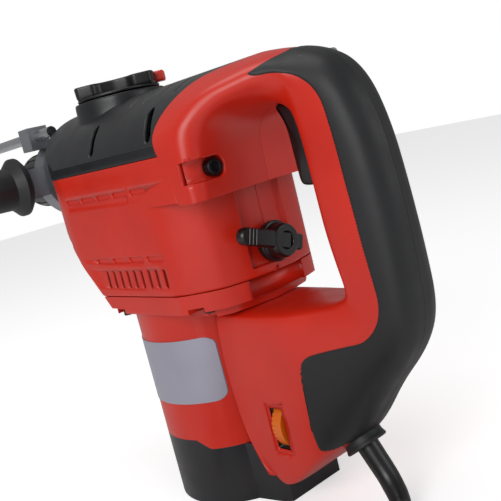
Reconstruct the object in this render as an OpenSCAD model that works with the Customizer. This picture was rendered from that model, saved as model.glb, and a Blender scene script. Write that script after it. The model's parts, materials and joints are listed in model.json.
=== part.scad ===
// Combination rotary hammer drill with an upright motor and a D-handle.
// Millimetres. +X points to the tool, +Y to the left, +Z up.
// The origin is where the motor axis meets the flat underside of the motor cap.

/* [Motor column] */
// Outer radius of the motor housing
motor_r = 50; // [49.5:0.1:50.5]
// Wall of the plastic shells
wall = 3; // [2.8:0.1:3.2]
// Height where the red housing ends and the cap begins
cap_z = 45.5; // [45:0.1:46]

/* [Gear housing] */
// Half of the gear housing's width
gear_hw = 55; // [54.8:0.1:55.4]
// Height of the joint between motor housing and gear housing
joint_z = 146.6; // [146.4:0.1:146.8]
// Height of the joint between gear housing and top cover
split_z = 231; // [230.8:0.1:231.2]
// Height of the top cover's ridge
top_z = 273; // [272.6:0.1:273.4]
// Height of the hammer axis
axis_z = 232; // [231.8:0.1:232.2]
// Front face of the gear housing
front_x = 92; // [91.8:0.1:92.2]

/* [Handle] */
// Half of the grip's width
grip_hw = 18.5; // [18:0.1:19]
// Half of the lower handle's width beside the motor
leg_hw = 30; // [29.5:0.1:30.5]
// Thickness of the rubber over-moulding
skin = 2; // [1.8:0.1:2.2]

/* [Hammer mechanism] */
// Radius of the crank pin's circle, half of the piston's stroke
crank_throw = 11; // [10:0.5:11]
// Radius of the bore in which the piston and the striker slide
cylinder_r = 14; // [14:0.1:14.2]
// Radius of the shank bore in the tool holder
shank_r = 5.05; // [5:0.01:5.1]
// Number of pinion teeth on the motor shaft
pinion_teeth = 8; // [8:1:8]
// Number of teeth on the crank gear
crank_teeth = 48; // [48:1:48]
// Number of teeth on the intermediate gear
inter_teeth = 40; // [40:1:40]

/* [Controls] */
// Radius of the mode knob on top
knob_r = 28; // [27:0.5:28.5]
// Distance of the mode knob from the motor axis
knob_x = 42; // [41.5:0.5:42.5]
// Radius of the speed dial
dial_r = 16; // [15.8:0.1:16.2]

/* [Cord] */
// Diameter of the mains cord
cord_d = 8; // [8:0.1:8]
// Radius of the coil at the middle of its turns
coil_r = 44; // [44:1:44]

/* [Hidden] */
$fn = 96;

red = "#c5301c";
black = "#26272b";
steel = "#b9bcc2";
gap = 0.3;

// Points of an arc about (cx, cy), both ends included
function arc(cx, cy, r, a0, a1, n = 8) =
    [for (i = [0:n]) let(a = a0 + (a1 - a0) * i / n) [cx + r * cos(a), cy + r * sin(a)]];
// The same outline on the other side of the X axis, in reverse order
function mirrored(pts) = [for (i = [len(pts) - 1:-1:0]) [pts[i][0], -pts[i][1]]];
function both_sides(pts) = concat(pts, mirrored(pts));

// A side view outline (x, z) made into a slab of the given half width
module side_slab(half) rotate([90, 0, 0]) linear_extrude(2 * half, center = true) children();
// A front view outline (y, z) carried along X
module front_bar(x0, x1) translate([x0, 0, 0]) rotate([90, 0, 90]) linear_extrude(x1 - x0) children();
// A plan outline (x, y) carried up
module plan_bar(z0, z1) translate([0, 0, z0]) linear_extrude(z1 - z0) children();
// A round bar and a ring about an upright axis
module rod_z(r, z0, z1, x = 0, y = 0) translate([x, y, z0]) cylinder(r = r, h = z1 - z0);
module ring_z(r_out, r_in, z0, z1, x = 0, y = 0) difference() {
    rod_z(r_out, z0, z1, x, y);
    rod_z(r_in, z0 - 1, z1 + 1, x, y);
}
// A round bar and a ring about the hammer axis
module rod_x(r, x0, x1) translate([x0, 0, axis_z]) rotate([0, 90, 0]) cylinder(r = r, h = x1 - x0);
module cone_x(r0, r1, x0, x1)
    translate([x0, 0, axis_z]) rotate([0, 90, 0]) cylinder(r1 = r0, r2 = r1, h = x1 - x0);
module ring_x(r_out, r_in, x0, x1) difference() {
    rod_x(r_out, x0, x1);
    rod_x(r_in, x0 - 1, x1 + 1);
}
// The half of a piece on the left (side 1) or on the right (side -1)
module half(side) intersection() {
    children();
    translate([-300, side > 0 ? 0.05 : -200.05, -10]) cube([600, 200, 400]);
}

// Gear housing: plan with a round rear and chamfered rear corners
rear_arc = arc(6.6, 0, 87, 154.6, 180);
plan_front = [[62, gear_hw], [80, 49], [front_x, 38]];
gear_plan = both_sides(concat([for (i = [len(rear_arc) - 1:-1:0]) rear_arc[i]],
    [[-64.2, 44.6], [-48, gear_hw]], plan_front));
shoulder_plan = both_sides(concat([[-74, gear_hw]], plan_front));
shoulder_z = 203;
slope_top = [86, 202];
gear_side = [[-90, joint_z], [40, joint_z], slope_top, [front_x + 1, 206], [front_x + 1, split_z],
    [-90, split_z]];
// Top cover: a straight band, then one wide arc over the mechanism
band_z = 238;
cover_r = 59.2;
cover_cz = top_z - cover_r;
function cover_outline(g, base = split_z) = let(a = asin((band_z - cover_cz) / cover_r)) concat(
    [[gear_hw + g, base]], arc(0, cover_cz, cover_r + g, a, 180 - a, 24), [[-gear_hw - g, base]]);
// Edge of the handle's hood over the top cover, in side view
hood_edge = [[-79, 202], [-70, split_z], [-66, 240], [-69, 250], [-75, 258], [-83, 265], [-97, 270],
    [-110, 274]];

module gear_solid(g) intersection() {
    union() {
        plan_bar(joint_z, shoulder_z) offset(delta = g) polygon(gear_plan);
        plan_bar(shoulder_z - 1, split_z) offset(delta = g) polygon(shoulder_plan);
    }
    side_slab(80) offset(delta = g) polygon(gear_side);
}

vent_pitch = 8.43;
dash_pitch = 20.5;
module side_recesses() for (side = [-1, 1]) {
    // Upright cooling slots
    for (i = [0:8]) translate([-39.9 + i * vent_pitch, side * gear_hw, 158.5]) cube([3.4, 12, 12], center = true);
    // Two rows of shallow dashes
    for (i = [0:4]) translate([-34.4 + i * dash_pitch, side * gear_hw, 213.6]) cube([16, 1.6, 3.6], center = true);
    for (i = [0:3]) translate([-34.4 + i * dash_pitch, side * gear_hw, 171.6]) cube([16, 1.6, 3.6], center = true);
}

module gear_housing() color(red) difference() {
    gear_solid(0);
    difference() {
        intersection() {
            plan_bar(joint_z - 1, split_z + 1) offset(delta = -wall) polygon(gear_plan);
            side_slab(80) polygon([[-90, joint_z - 1], [38, joint_z - 1], [82, 202], [88, 208],
                [88, split_z + 1], [-90, split_z + 1]]);
        }
        // Bosses that take the flange screws
        for (p = flange_places, side = [-1, 1]) rod_z(6, joint_z, joint_z + 18, p[0], side * p[1]);
    }
    for (p = flange_places, side = [-1, 1]) rod_z(2.6, joint_z - 1, joint_z + 15, p[0], side * p[1]);
    side_recesses();
    // Bore of the rear lever's shaft and opening for the spindle
    translate([-90, 0, lever_z]) rotate([0, 90, 0]) cylinder(r = lever_bore_r, h = 30);
    rod_x(26.2, front_x - 20, front_x + 2);
    nose_screw_ways();
    // Threads of the bracket screws
    for (side = [-1, 1]) translate([-80, side * bracket_y, bracket_z]) rotate([0, 90, 0]) cylinder(r = 3.2, h = 14);
}

flange_places = [[-56, 40], [22, 49.5]];
lever_z = 165;
lever_bore_r = 4.06;

module cover_solid(g) intersection() {
    front_bar(-112, front_x + g) polygon(cover_outline(g));
    plan_bar(split_z, 300) union() {
        offset(delta = g) polygon(shoulder_plan);
        // Tongue that runs back under the hood
        offset(delta = g) polygon(both_sides([[-108, 18], [-96, 34], [-80, 50], [-73, gear_hw]]));
    }
}
// Room inside for the mechanism
module cover_room() intersection() {
    front_bar(-80, front_x - wall) polygon(cover_outline(-wall, split_z - 1));
    plan_bar(split_z - 2, 300) offset(delta = -wall) polygon(shoulder_plan);
}
boss_r = 32;
boss_top = 277;
module top_cover() color(black) difference() {
    union() {
        difference() {
            cover_solid(0);
            cover_room();
        }
        rod_z(boss_r, 262, boss_top, knob_x);
    }
    cover_room();
    translate([0, 0, 1]) rod_z(7.06, 250, boss_top, knob_x);
    // The hood takes the place of the cover behind its edge
    side_slab(90) polygon(concat(hood_edge, [[-130, 290], [-130, 150], [-79, 150]]));
    // Curved cooling slots over the shoulder, two on each side
    for (x = [-49, 14], side = [-1, 1]) translate([x, side * 45, 247]) rotate([side * -30, 12, 0])
        cube([5.5, 20, 21], center = true);
    rod_x(26.2, front_x - 20, front_x + 2);
    nose_screw_ways();
}

// Motor housing: a tube with a flange that matches the gear housing
flange_z = 135;
seat_z = 138;
cap_edge = [[60, cap_z], [-15, cap_z], [-24, 39], [-60, 39]];
module motor_housing() color(red) difference() {
    union() {
        rod_z(motor_r, 30, seat_z);
        intersection() {
            union() {
                plan_bar(flange_z, joint_z) polygon(gear_plan);
                // Box behind the motor, between two posts, over which the lower handle sits
                plan_bar(129.5, joint_z) offset(delta = -3) polygon(both_sides(concat(
                    [[-77, 0], [-74, 20], [-70, 33], [-62, 42], [-30, 42]])));
            }
            side_slab(80) union() {
                polygon([[-90, 80], [27, 80], [27, flange_z], [27, 138.4], [33.4, 138.4], [40, joint_z],
                    [-90, joint_z]]);
            }
        }
    }
    rod_z(motor_r - 3.5, 20, flange_z);
    rod_z(30, flange_z - 1, seat_z + 1);
    plan_bar(seat_z, joint_z + 1) offset(delta = -4) intersection() {
        polygon(gear_plan);
        translate([-100, -100]) square([137, 200]);
    }
    // Notches that bare the heads of the flange screws
    for (p = flange_places, side = [-1, 1]) {
        rod_z(4.4, flange_z - 6, flange_z + 3.05, p[0], side * p[1]);
        translate([p[0] - 4.4, side > 0 ? p[1] : -p[1] - 20, flange_z - 6]) cube([8.8, 20, 9.05]);
        rod_z(2.6, flange_z - 3, joint_z + 1, p[0], side * p[1]);
    }
    side_slab(80) polygon(concat(cap_edge, [[-60, 0], [60, 0]]));
}

// Motor cap: a cup with a rear extension that runs under the lower handle
cap_floor = 4;
module cap_plan(g) offset(delta = g) union() {
    circle(r = motor_r);
    polygon(both_sides([[-67, 22], [-62, 25], [-40, 29], [-20, 29]]));
}
module motor_cap() color(black) difference() {
    union() {
        intersection() {
            plan_bar(0, 60) cap_plan(0);
            side_slab(80) polygon([[60, 0], [-67, 0], [-67, 11], [-62, 16], [-58, 39], [-24, 39],
                [-15, cap_z], [60, cap_z]]);
        }
    }
    difference() {
        intersection() {
            plan_bar(cap_floor, 70) cap_plan(-wall);
            side_slab(80) polygon([[60, 0], [-63, 0], [-63, 10], [-54, 36], [-54, 60], [60, 60]]);
        }
        ring_z(14.5, 11.05, cap_floor, 21);
        for (a = [45:90:315]) rod_z(5, cap_floor, 30, 38 * cos(a), 38 * sin(a));
    }
    for (a = [45:90:315]) rod_z(2.1, -1, 26, 38 * cos(a), 38 * sin(a));
    for (a = [45:90:315]) rod_z(4.6, -1, 4.5, 38 * cos(a), 38 * sin(a));
    // Air slots in the floor
    for (i = [-2:2]) translate([i * 9 - 2, -12 - 8, -1]) cube([4, 5, 8]);
    for (i = [-2:2]) translate([i * 9 - 2, 15, -1]) cube([4, 5, 8]);
}

plate_z0 = 71;
plate_z1 = 114;
plate_rear = -39.8;
plate_corner = 6;
module name_plate() color("#a4a6b8") intersection() {
    ring_z(motor_r + 0.5, motor_r, plate_z0, plate_z1);
    side_slab(60) polygon(concat([[60, plate_z0], [60, plate_z1]],
        arc(plate_rear + plate_corner, plate_z1 - plate_corner, plate_corner, 90, 180, 5),
        arc(plate_rear + plate_corner, plate_z0 + plate_corner, plate_corner, 180, 270, 5)));
}

// Handle: one side view, limited by a plan for the hood and one for the grip and the lower part
rear_edge = [[-130, 272.5], [-154, 267], [-168, 259.5], [-178, 246], [-183.5, 222], [-186.5, 190],
    [-187.5, 155], [-186, 128], [-181, 112], [-173, 101], [-150, 78], [-139, 66], [-133, 54]];
base_edge = [[-127, 42], [-114, 37], [-98, 27.6], [-80, 17], [-72, 15], [-65, 16.7]];
front_edge = [[-58.9, 23.6], [-53.4, 32], [-49.3, 43], [-44.2, 60], [-42.4, 78], [-42.4, 97], [-44, 127]];
window_edge = [[-84, 129], [-112, 129], [-126, 130], [-133.5, 136], [-141, 185], [-139, 222],
    [-133, 236], [-121, 242.5], [-106, 240.5], [-97, 237], [-92.5, 231], [-91, 202]];
handle_side = concat(hood_edge, rear_edge, base_edge, front_edge, window_edge);
hood_hw = gear_hw + 3.5;
hood_plan = both_sides(concat([for (p = arc(-176, 0, 12, 180, 135, 3)) [p[0], abs(p[1])]],
    [[-176, grip_hw], [-140, 20], [-124, 27], [-110, 40], [-97, 49], [-92, hood_hw], [-60, hood_hw]]));
leg_plan = both_sides([[-188, 0], [-187, 9], [-182, 15], [-174, grip_hw], [-146, 20], [-128, 24.5],
    [-100, 29], [-70, leg_hw], [-20, leg_hw]]);
leg_top_z = 150;

module handle_solid(g) union() {
    intersection() {
        side_slab(80) offset(delta = -g) polygon(handle_side);
        plan_bar(leg_top_z, 300) offset(delta = -g) polygon(hood_plan);
        front_bar(-200, -50) offset(delta = -g) union() {
            polygon(cover_outline(3.5));
            translate([-hood_hw, 100]) square([2 * hood_hw, split_z - 100]);
        }
    }
    intersection() {
        side_slab(80) offset(delta = -g) polygon(handle_side);
        plan_bar(0, leg_top_z + 1) offset(delta = -g) polygon(leg_plan);
    }
}
// Where the rubber covers the handle, in side view
rubber_side = [[-124.6, 262.5], [-128, 259], [-138, 258.4], [-148.6, 255], [-155.4, 250], [-160, 244.5],
    [-163, 237.6], [-165, 220], [-166, 200], [-168, 165], [-171, 134], [-169.5, 125], [-164, 117.4],
    [-156, 111.5], [-117, 104], [-111, 100], [-109, 93], [-107, 60], [-106, 45], [-109, 41],
    [-116, 43], [-124, 48], [-130, 46], [-150, 50], [-210, 90], [-210, 280], [-130, 290]];
window_side = [[-118, 245], [-146, 245], [-146, 193], [-118, 193]];

module handle_core() difference() {
    handle_solid(0);
    difference() {
        side_slab(80) polygon(rubber_side);
        handle_solid(skin);
    }
    // Space taken by the housings
    gear_solid(gap);
    cover_solid(gap);
    rod_z(motor_r + gap, 0, joint_z);
    plan_bar(129.3, joint_z + 5) offset(delta = gap) polygon(gear_plan);
    plan_bar(0, 39.2) cap_plan(gap);
    // Hollow grip and lower part
    side_slab(14) offset(delta = -4) polygon(concat([[-128, 262]], rear_edge, [[-124, 58], [-100, 40],
        [-74, 26], [-60, 44], [-56, 118], [-84, 124], [-130, 124], [-145, 185], [-143, 224], [-133, 244]]));
    // Slot of the trigger
    side_slab(9.1) polygon(window_side);
    pivot_bar(pin_r + 0.02, 14.2);
    // Window and room of the speed dial, on the left only
    translate([dial_at[0] - 5.5, 12, dial_at[2] - 13.5]) cube([11, 30, 27]);
    intersection() {
        translate(dial_at) rotate([0, 90, 0]) cylinder(r = dial_r + 0.8, h = 11, center = true);
        translate([-150, 0, 0]) cube([150, leg_hw - 2.5, 100]);
    }
    // Ways of the joining screws, which enter from the right
    for (p = screw_places) translate([p[0], 13, p[1]]) rotate([90, 0, 0]) cylinder(r = 2.1, h = 60);
    screw_pockets();
    // Cord entry
    translate(relief_root) rotate([0, relief_tilt, 0]) cylinder(r = 9, h = 40, center = true);
    // Pockets and ways of the bracket screws, and seats of their buffers
    for (side = [-1, 1]) translate([bracket_x, side * bracket_y, bracket_z]) rotate([0, -90, 0]) {
        translate([0, 0, -6]) cylinder(r = 6.5, h = 30);
        translate([-6.5, side > 0 ? 0 : -14, -6]) cube([13, 14, 30]);
        translate([0, 0, -30]) cylinder(r = 3.2, h = 40);
        translate([0, 0, -30]) cylinder(r = 7.8, h = 15.4);
    }
}
screw_places = [[-150, 262], [-148, 92], [-62, 60]];
// Centre of a bracket screw's head
bracket_x = -92.5;
bracket_y = 38;
bracket_z = 218.5;
module handle_left() color(red) half(1) handle_core();
module handle_right() color(red) half(-1) handle_core();

module screw_pockets() for (p = screw_places)
    translate([p[0], -10, p[1]]) rotate([90, 0, 0]) cylinder(r = 4.6, h = 40);

module rubber_skin() difference() {
    intersection() {
        handle_solid(0);
        side_slab(80) polygon(rubber_side);
    }
    handle_solid(skin);
    screw_pockets();
    translate(relief_root) rotate([0, relief_tilt, 0]) cylinder(r = 9, h = 40, center = true);
    side_slab(9.1) polygon(window_side);
}
module grip_rubber_left() color(black) half(1) rubber_skin();
module grip_rubber_right() color(black) half(-1) rubber_skin();

// A socket head screw that points along +Z from its head at z = 0
module socket_screw(r, length) difference() {
    union() {
        cylinder(r = 1.5 * r, h = 2 * r);
        translate([0, 0, 2 * r]) cylinder(r = r, h = length);
    }
    translate([0, 0, -1]) cylinder(r = 0.95 * r, h = r + 1, $fn = 6);
}
module bracket_screws() color(black) for (side = [-1, 1])
    translate([bracket_x, side * bracket_y, bracket_z]) rotate([0, 90, 0]) socket_screw(3, 16);
module bracket_buffers() color("#101010") for (side = [-1, 1])
    translate([bracket_x + 14.8, side * bracket_y, bracket_z]) rotate([0, 90, 0]) difference() {
        cylinder(r = 7.5, h = 3.4);
        translate([0, 0, -1]) cylinder(r = 3.2, h = 6);
    }
module handle_screws() color(steel) for (p = screw_places)
    translate([p[0], -14, p[1]]) rotate([-90, 0, 0]) socket_screw(2, 22);
module flange_screws() color(black) for (p = flange_places, side = [-1, 1])
    translate([p[0], side * p[1], flange_z - 2]) socket_screw(2.5, 20);
module cap_screws() color(steel) for (a = [45:90:315])
    translate([38 * cos(a), 38 * sin(a), 0.4]) socket_screw(2, 20);

// Nose housing: flange, barrel and the plain collar that the side handle clamps on
collar_r = 27;
nose_end = 146;
module nose_housing() color("#3a3c40") difference() {
    union() {
        rod_x(36, front_x + 0.05, front_x + 7);
        cone_x(33, 29, front_x + 6, 116);
        rod_x(collar_r, 115, 143);
        cone_x(collar_r, 24, 142.5, nose_end);
    }
    rod_x(26.05, front_x - 1, 123);
    rod_x(19, 122, nose_end + 1);
    nose_screw_ways();
    for (a = [45:90:315]) translate([front_x + 7, 31 * cos(a), axis_z + 31 * sin(a)]) rotate([0, 90, 0])
        cylinder(r = 3.4, h = 30);
}
module nose_screw_ways() for (a = [45:90:315])
    translate([front_x - 5, 31 * cos(a), axis_z + 31 * sin(a)]) rotate([0, 90, 0]) cylinder(r = 2.1, h = 14);
module nose_screws() color("#202124") for (a = [45:90:315])
    translate([front_x + 11, 31 * cos(a), axis_z + 31 * sin(a)]) rotate([0, -90, 0]) socket_screw(2, 10);

// Crankcase: a floor plate across the joint, a middle plate and a ring for the spindle
floor_z0 = 138.5;
floor_z1 = 150;
mid_z0 = 176;
mid_z1 = 189;
pinion_tip = 5.9;
crank_x = -36.6;
inter_z0 = 149.7;
inter_x = 28;
crankcase_plan = both_sides([[-70, 0], [-68, 24], [-60, 32], [-52, 33], [-47, 38], [16, 38], [30, 30], [44, 24]]);
module crankcase() color("#9a9da3") difference() {
    union() {
        plan_bar(floor_z0, floor_z1) intersection() {
            polygon(crankcase_plan);
            translate([-100, -100]) square([132.5, 200]);
        }
        rod_z(11.5, floor_z1 - 1, inter_z0 + 6.3, inter_x);
        plan_bar(mid_z0, mid_z1) intersection() {
            polygon(crankcase_plan);
            translate([-58, -60]) square([110, 120]);
        }
        // Side walls between the plates
        for (side = [-1, 1]) translate([-46, side * 35.5 - 2.5, floor_z1 - 1]) cube([60, 5, mid_z0 - floor_z1 + 2]);
        // Ring and foot of the rear spindle bearing
        rod_x(31, 58.5, 68);
        translate([40, -24, mid_z0 + 2]) cube([22, 48, 10]);
        translate([58.5, -24, mid_z0 + 10]) cube([9.5, 48, 30]);
    }
    rod_x(26.02, 50, 70);
    rod_z(13.02, floor_z0 - 1, 146);
    rod_z(7, 145, 152);
    rod_z(13.02, 141, floor_z1 + 1, crank_x);
    rod_z(9.52, inter_z0, floor_z1 + 10, inter_x);
    rod_z(14.02, mid_z0 - 1, 187, crank_x);
    rod_z(8, 186, 190, crank_x);
    rod_z(9.52, mid_z0 - 1, 183.1, inter_x);
    rod_z(7, 183, 190, inter_x);
    rod_z(12, mid_z0 - 1, mid_z1 + 1);
}

// A ball bearing about an upright axis: two races with balls between them
module bearing(r_in, r_out, h) let(ball = (r_out - r_in) * 0.26, mid = (r_in + r_out) / 2) {
    difference() {
        ring_z(r_out, r_in, 0, h);
        difference() {
            ring_z(mid + 0.62 * ball, mid - 0.62 * ball, -1, h + 1);
            ring_z(mid + 0.7 * ball, mid - 0.7 * ball, 0.8, 1.6);
        }
        translate([0, 0, h / 2]) rotate_extrude() translate([mid, 0]) circle(r = ball);
    }
    for (a = [0:45:315]) translate([mid * cos(a), mid * sin(a), h / 2]) sphere(r = ball);
}
module motor_bearings() color(steel) {
    translate([0, 0, 12]) bearing(4.05, 11, 7);
    translate([0, 0, 137]) bearing(5.05, 13, 9);
}
module crank_bearings() color(steel) {
    translate([crank_x, 0, 141]) bearing(6.05, 13, 8.5);
    translate([crank_x, 0, 178]) bearing(6.05, 14, 9);
}
module pinion_bearings() color(steel) {
    translate([inter_x, 0, inter_z0]) bearing(5.05, 9.5, 6);
    translate([inter_x, 0, 177]) bearing(5.05, 9.5, 6);
}
module spindle_bearings() color(steel) {
    translate([58.5, 0, axis_z]) rotate([0, 90, 0]) bearing(18.05, 26, 9);
    translate([112, 0, axis_z]) rotate([0, 90, 0]) bearing(18.05, 26, 10);
}

// A gear outline with square-shouldered teeth between root and tip
module gear_outline(teeth, tip, depth) {
    circle(r = tip - depth);
    for (i = [0:teeth - 1]) rotate(360 * i / teeth)
        polygon([[tip - depth - 0.5, -0.32 * 360 / teeth * tip * PI / 180],
            [tip, -0.16 * 360 / teeth * tip * PI / 180], [tip, 0.16 * 360 / teeth * tip * PI / 180],
            [tip - depth - 0.5, 0.32 * 360 / teeth * tip * PI / 180]]);
}

// Armature
module armature_shaft() color(steel) {
    rod_z(4, 9, 24);
    rod_z(5, 24, 152);
    translate([0, 0, 152]) linear_extrude(20) gear_outline(pinion_teeth, pinion_tip, 1.6);
}
module armature_core() color("#7c5a3a") difference() {
    union() {
        rod_z(24, 54, 110);
        rod_z(20, 47, 117);
    }
    for (i = [0:11]) rotate(30 * i) translate([22.5, -1.2, 53]) cube([3, 2.4, 58]);
    rod_z(5, 40, 120);
}
module commutator() color("#b4703c") difference() {
    rod_z(14, 25, 46);
    for (i = [0:23]) rotate(15 * i) translate([13, -0.3, 26]) cube([2, 0.6, 16]);
    rod_z(5, 20, 50);
}
module cooling_fan() color("#2f3033") difference() {
    union() {
        rod_z(40, 121, 123);
        rod_z(9, 121, 131);
        for (i = [0:11]) rotate(30 * i) translate([8, -0.8, 122]) cube([31, 1.6, 9]);
    }
    rod_z(5, 115, 135);
}
module stator() color("#8d9096") difference() {
    rod_z(motor_r - 3.6, 54, 110);
    rod_z(24.8, 53, 111);
    for (a = [0, 180]) rotate(a) translate([24, -9, 53]) cube([9, 18, 58]);
    for (a = [90, 270]) rotate(a) translate([42, -30, 53]) cube([9, 60, 58]);
}
brush_z = 34;
module brush_holders() color("#c9a14a") for (side = [-1, 1]) difference() {
    translate([-5, side > 0 ? 18 : -42, brush_z - 6]) cube([10, 24, 12]);
    translate([-4, side > 0 ? 17 : -41, brush_z - 5]) cube([8, 24, 10]);
}
module carbon_brushes() color("#303030") for (side = [-1, 1])
    translate([-4, side > 0 ? 14.3 : -34.3, brush_z - 5]) cube([8, 20, 10]);

// Crank: gear and shaft below, disc and pin above; the pin stands forward at rest
gear_z0 = 162;
gear_z1 = 172;
crank_tip = 30.3;
inter_tip = 21.6;
module crank_gear() color(steel) translate([crank_x, 0, 0]) difference() {
    translate([0, 0, gear_z0]) linear_extrude(gear_z1 - gear_z0) gear_outline(crank_teeth, crank_tip, 2);
    rod_z(6, gear_z0 - 1, gear_z1 + 1);
    for (a = [0:60:300]) rod_z(4.5, gear_z0 - 1, gear_z1 + 1, 17 * cos(a), 17 * sin(a));
}
disc_z = 204;
pin_top = 225.6;
module crank_shaft() color("#a8abb0") translate([crank_x, 0, 0]) {
    rod_z(6, 141, disc_z);
    rod_z(18, disc_z, 214);
    rod_z(5, 213, pin_top, crank_throw);
}
// Rod and piston slide together; the rod's eye passes just above the crank pin
rod_length = 62;
eye_x = crank_x + crank_throw;
wrist_x = eye_x + rod_length;
module connecting_rod() color("#c4c6ca") difference() {
    union() {
        rod_z(9, 226, 238, eye_x);
        rod_z(6.5, 227, 237, wrist_x);
        translate([eye_x, -3.5, 228]) cube([rod_length, 7, 8]);
    }
    rod_z(5.05, 225, 239, eye_x);
    rod_z(3.55, 225, 239, wrist_x);
}
module piston() color("#d0d2d6") difference() {
    union() {
        difference() {
            rod_x(cylinder_r - 0.06, wrist_x - 10, wrist_x + 18);
            rod_x(9, wrist_x - 11, wrist_x + 8);
            for (x = [11, 14.5]) ring_x(cylinder_r + 1, cylinder_r - 1.2, wrist_x + x, wrist_x + x + 1.6);
        }
        rod_z(3.5, 222, 242, wrist_x);
    }
}
striker_x = 70;
module striker() color("#8f9298") difference() {
    rod_x(cylinder_r - 0.06, striker_x, striker_x + 28);
    ring_x(cylinder_r + 1, cylinder_r - 1.5, striker_x + 5, striker_x + 8);
    ring_x(cylinder_r + 1, 9, striker_x + 22, striker_x + 29);
}
bolt_x = 108;
module impact_bolt() color("#9b9ea4") {
    rod_x(8.5, bolt_x, bolt_x + 5);
    rod_x(cylinder_r - 0.06, bolt_x + 5, bolt_x + 14);
    rod_x(6, bolt_x + 14, bolt_x + 24);
    rod_x(4.9, bolt_x + 24, bolt_x + 33);
}

bevel_tip = 12;
module intermediate_shaft() color("#aeb1b6") translate([inter_x, 0, 0]) {
    rod_z(5, inter_z0 + 0.3, 196);
    difference() {
        translate([0, 0, gear_z0]) linear_extrude(gear_z1 - gear_z0) gear_outline(inter_teeth, inter_tip, 2);
        for (a = [0:60:300]) rod_z(3, gear_z0 - 1, gear_z1 + 1, 12.5 * cos(a), 12.5 * sin(a));
    }
    translate([0, 0, 195]) linear_extrude(10) gear_outline(12, bevel_tip, 2);
}
spindle_tip = 30;
module spindle_gear() color("#9da0a6") difference() {
    translate([43.8, 0, axis_z]) rotate([0, 90, 0]) union() {
        cylinder(r = spindle_tip - 2.5, h = 12);
        for (i = [0:29]) rotate(12 * i) translate([18, -1.3, 0]) cube([12, 2.6, 8]);
    }
    rod_x(18, 40, 60);
}
spindle_end = 124;
module spindle() color(steel) difference() {
    rod_x(18, 0, spindle_end + 4);
    rod_x(cylinder_r, -1, spindle_end);
    rod_x(6.4, spindle_end - 1, spindle_end + 5);
    for (a = [0:90:270]) translate([60, 0, axis_z]) rotate([a, 0, 0]) cylinder(r = 1.5, h = 20);
}
// Tool holder: shank bore with two drive keys behind its plain mouth, and two ball windows
mouth_x = 205;
mouth_l = 20;
holder_r = 11.5;
ball_x = 178;
seat_x = 158;
module tool_holder() color("#c2c5ca") difference() {
    union() {
        difference() {
            union() {
                rod_x(holder_r, spindle_end + 4, mouth_x);
                // Seat of the sleeve's spring
                rod_x(16.5, seat_x - 2.5, seat_x);
            }
            rod_x(6.4, spindle_end, 142);
            rod_x(shank_r + 0.2, 141, mouth_x - mouth_l);
            rod_x(shank_r, mouth_x - mouth_l - 0.1, mouth_x + 1);
        }
        for (side = [-1, 1]) translate([145, -1.2, axis_z + side * 4.6 - 0.9]) cube([40, 2.4, 1.8]);
    }
    for (side = [-1, 1]) translate([ball_x, side * 8.2, axis_z]) rotate([90, 0, 0])
        cylinder(r = 3.6, h = 8, center = true);
}
module locking_balls() color("#dfe1e4") for (side = [-1, 1])
    translate([ball_x, side * 7.7, axis_z]) sphere(r = 3.5);
sleeve_x = 155;
shoulder_x = 172;
module locking_sleeve() color(black) difference() {
    union() {
        cone_x(19, 22.5, sleeve_x, 160);
        rod_x(22.5, 160, 186);
        cone_x(22.5, 20, 186, 191);
    }
    for (i = [0:17]) translate([0, 0, axis_z]) rotate([20 * i, 0, 0]) translate([172, 0, 23.4])
        cube([22, 3.2, 3], center = true);
    rod_x(holder_r + 0.05, sleeve_x - 2, 195);
    rod_x(17, sleeve_x - 2, shoulder_x);
}
// A round bar swept along points, with its own radius at each point
function unit(v) = v / norm(v);
function tangent(p, i) = unit(p[min(i + 1, len(p) - 1)] - p[max(i - 1, 0)]);
module swept(p, radii, side_ref, sides = 10) {
    rings = [for (i = [0:len(p) - 1]) let(t = tangent(p, i), u = unit(cross(t, side_ref)), v = cross(t, u))
        for (k = [0:sides - 1]) p[i] + radii[i] * (cos(360 * k / sides) * u + sin(360 * k / sides) * v)];
    last = (len(p) - 1) * sides;
    polyhedron(rings, concat([[for (k = [0:sides - 1]) k]], [[for (k = [sides - 1:-1:0]) last + k]],
        [for (i = [0:len(p) - 2], k = [0:sides - 1]) let(n = (k + 1) % sides)
            [i * sides + n, i * sides + k, (i + 1) * sides + k, (i + 1) * sides + n]]));
}
spring_turns = 4;
spring_r = 14.2;
wire_r = 0.8;
spring_path = [for (i = [0:spring_turns * 12]) let(a = 30 * i, t = i / (spring_turns * 12))
    [seat_x + wire_r + t * (shoulder_x - seat_x - 2 * wire_r), spring_r * cos(a), axis_z + spring_r * sin(a)]];
module sleeve_spring() color(steel)
    swept(spring_path, [for (p = spring_path) wire_r], [1, 0, 0], 6);
module dust_cap() color("#17181a") difference() {
    union() {
        cone_x(18, 15, 193.5, 204);
        cone_x(15, 9.5, 204, 209);
    }
    rod_x(holder_r, 190, mouth_x);
    rod_x(6, mouth_x - 1, 212);
}

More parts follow.
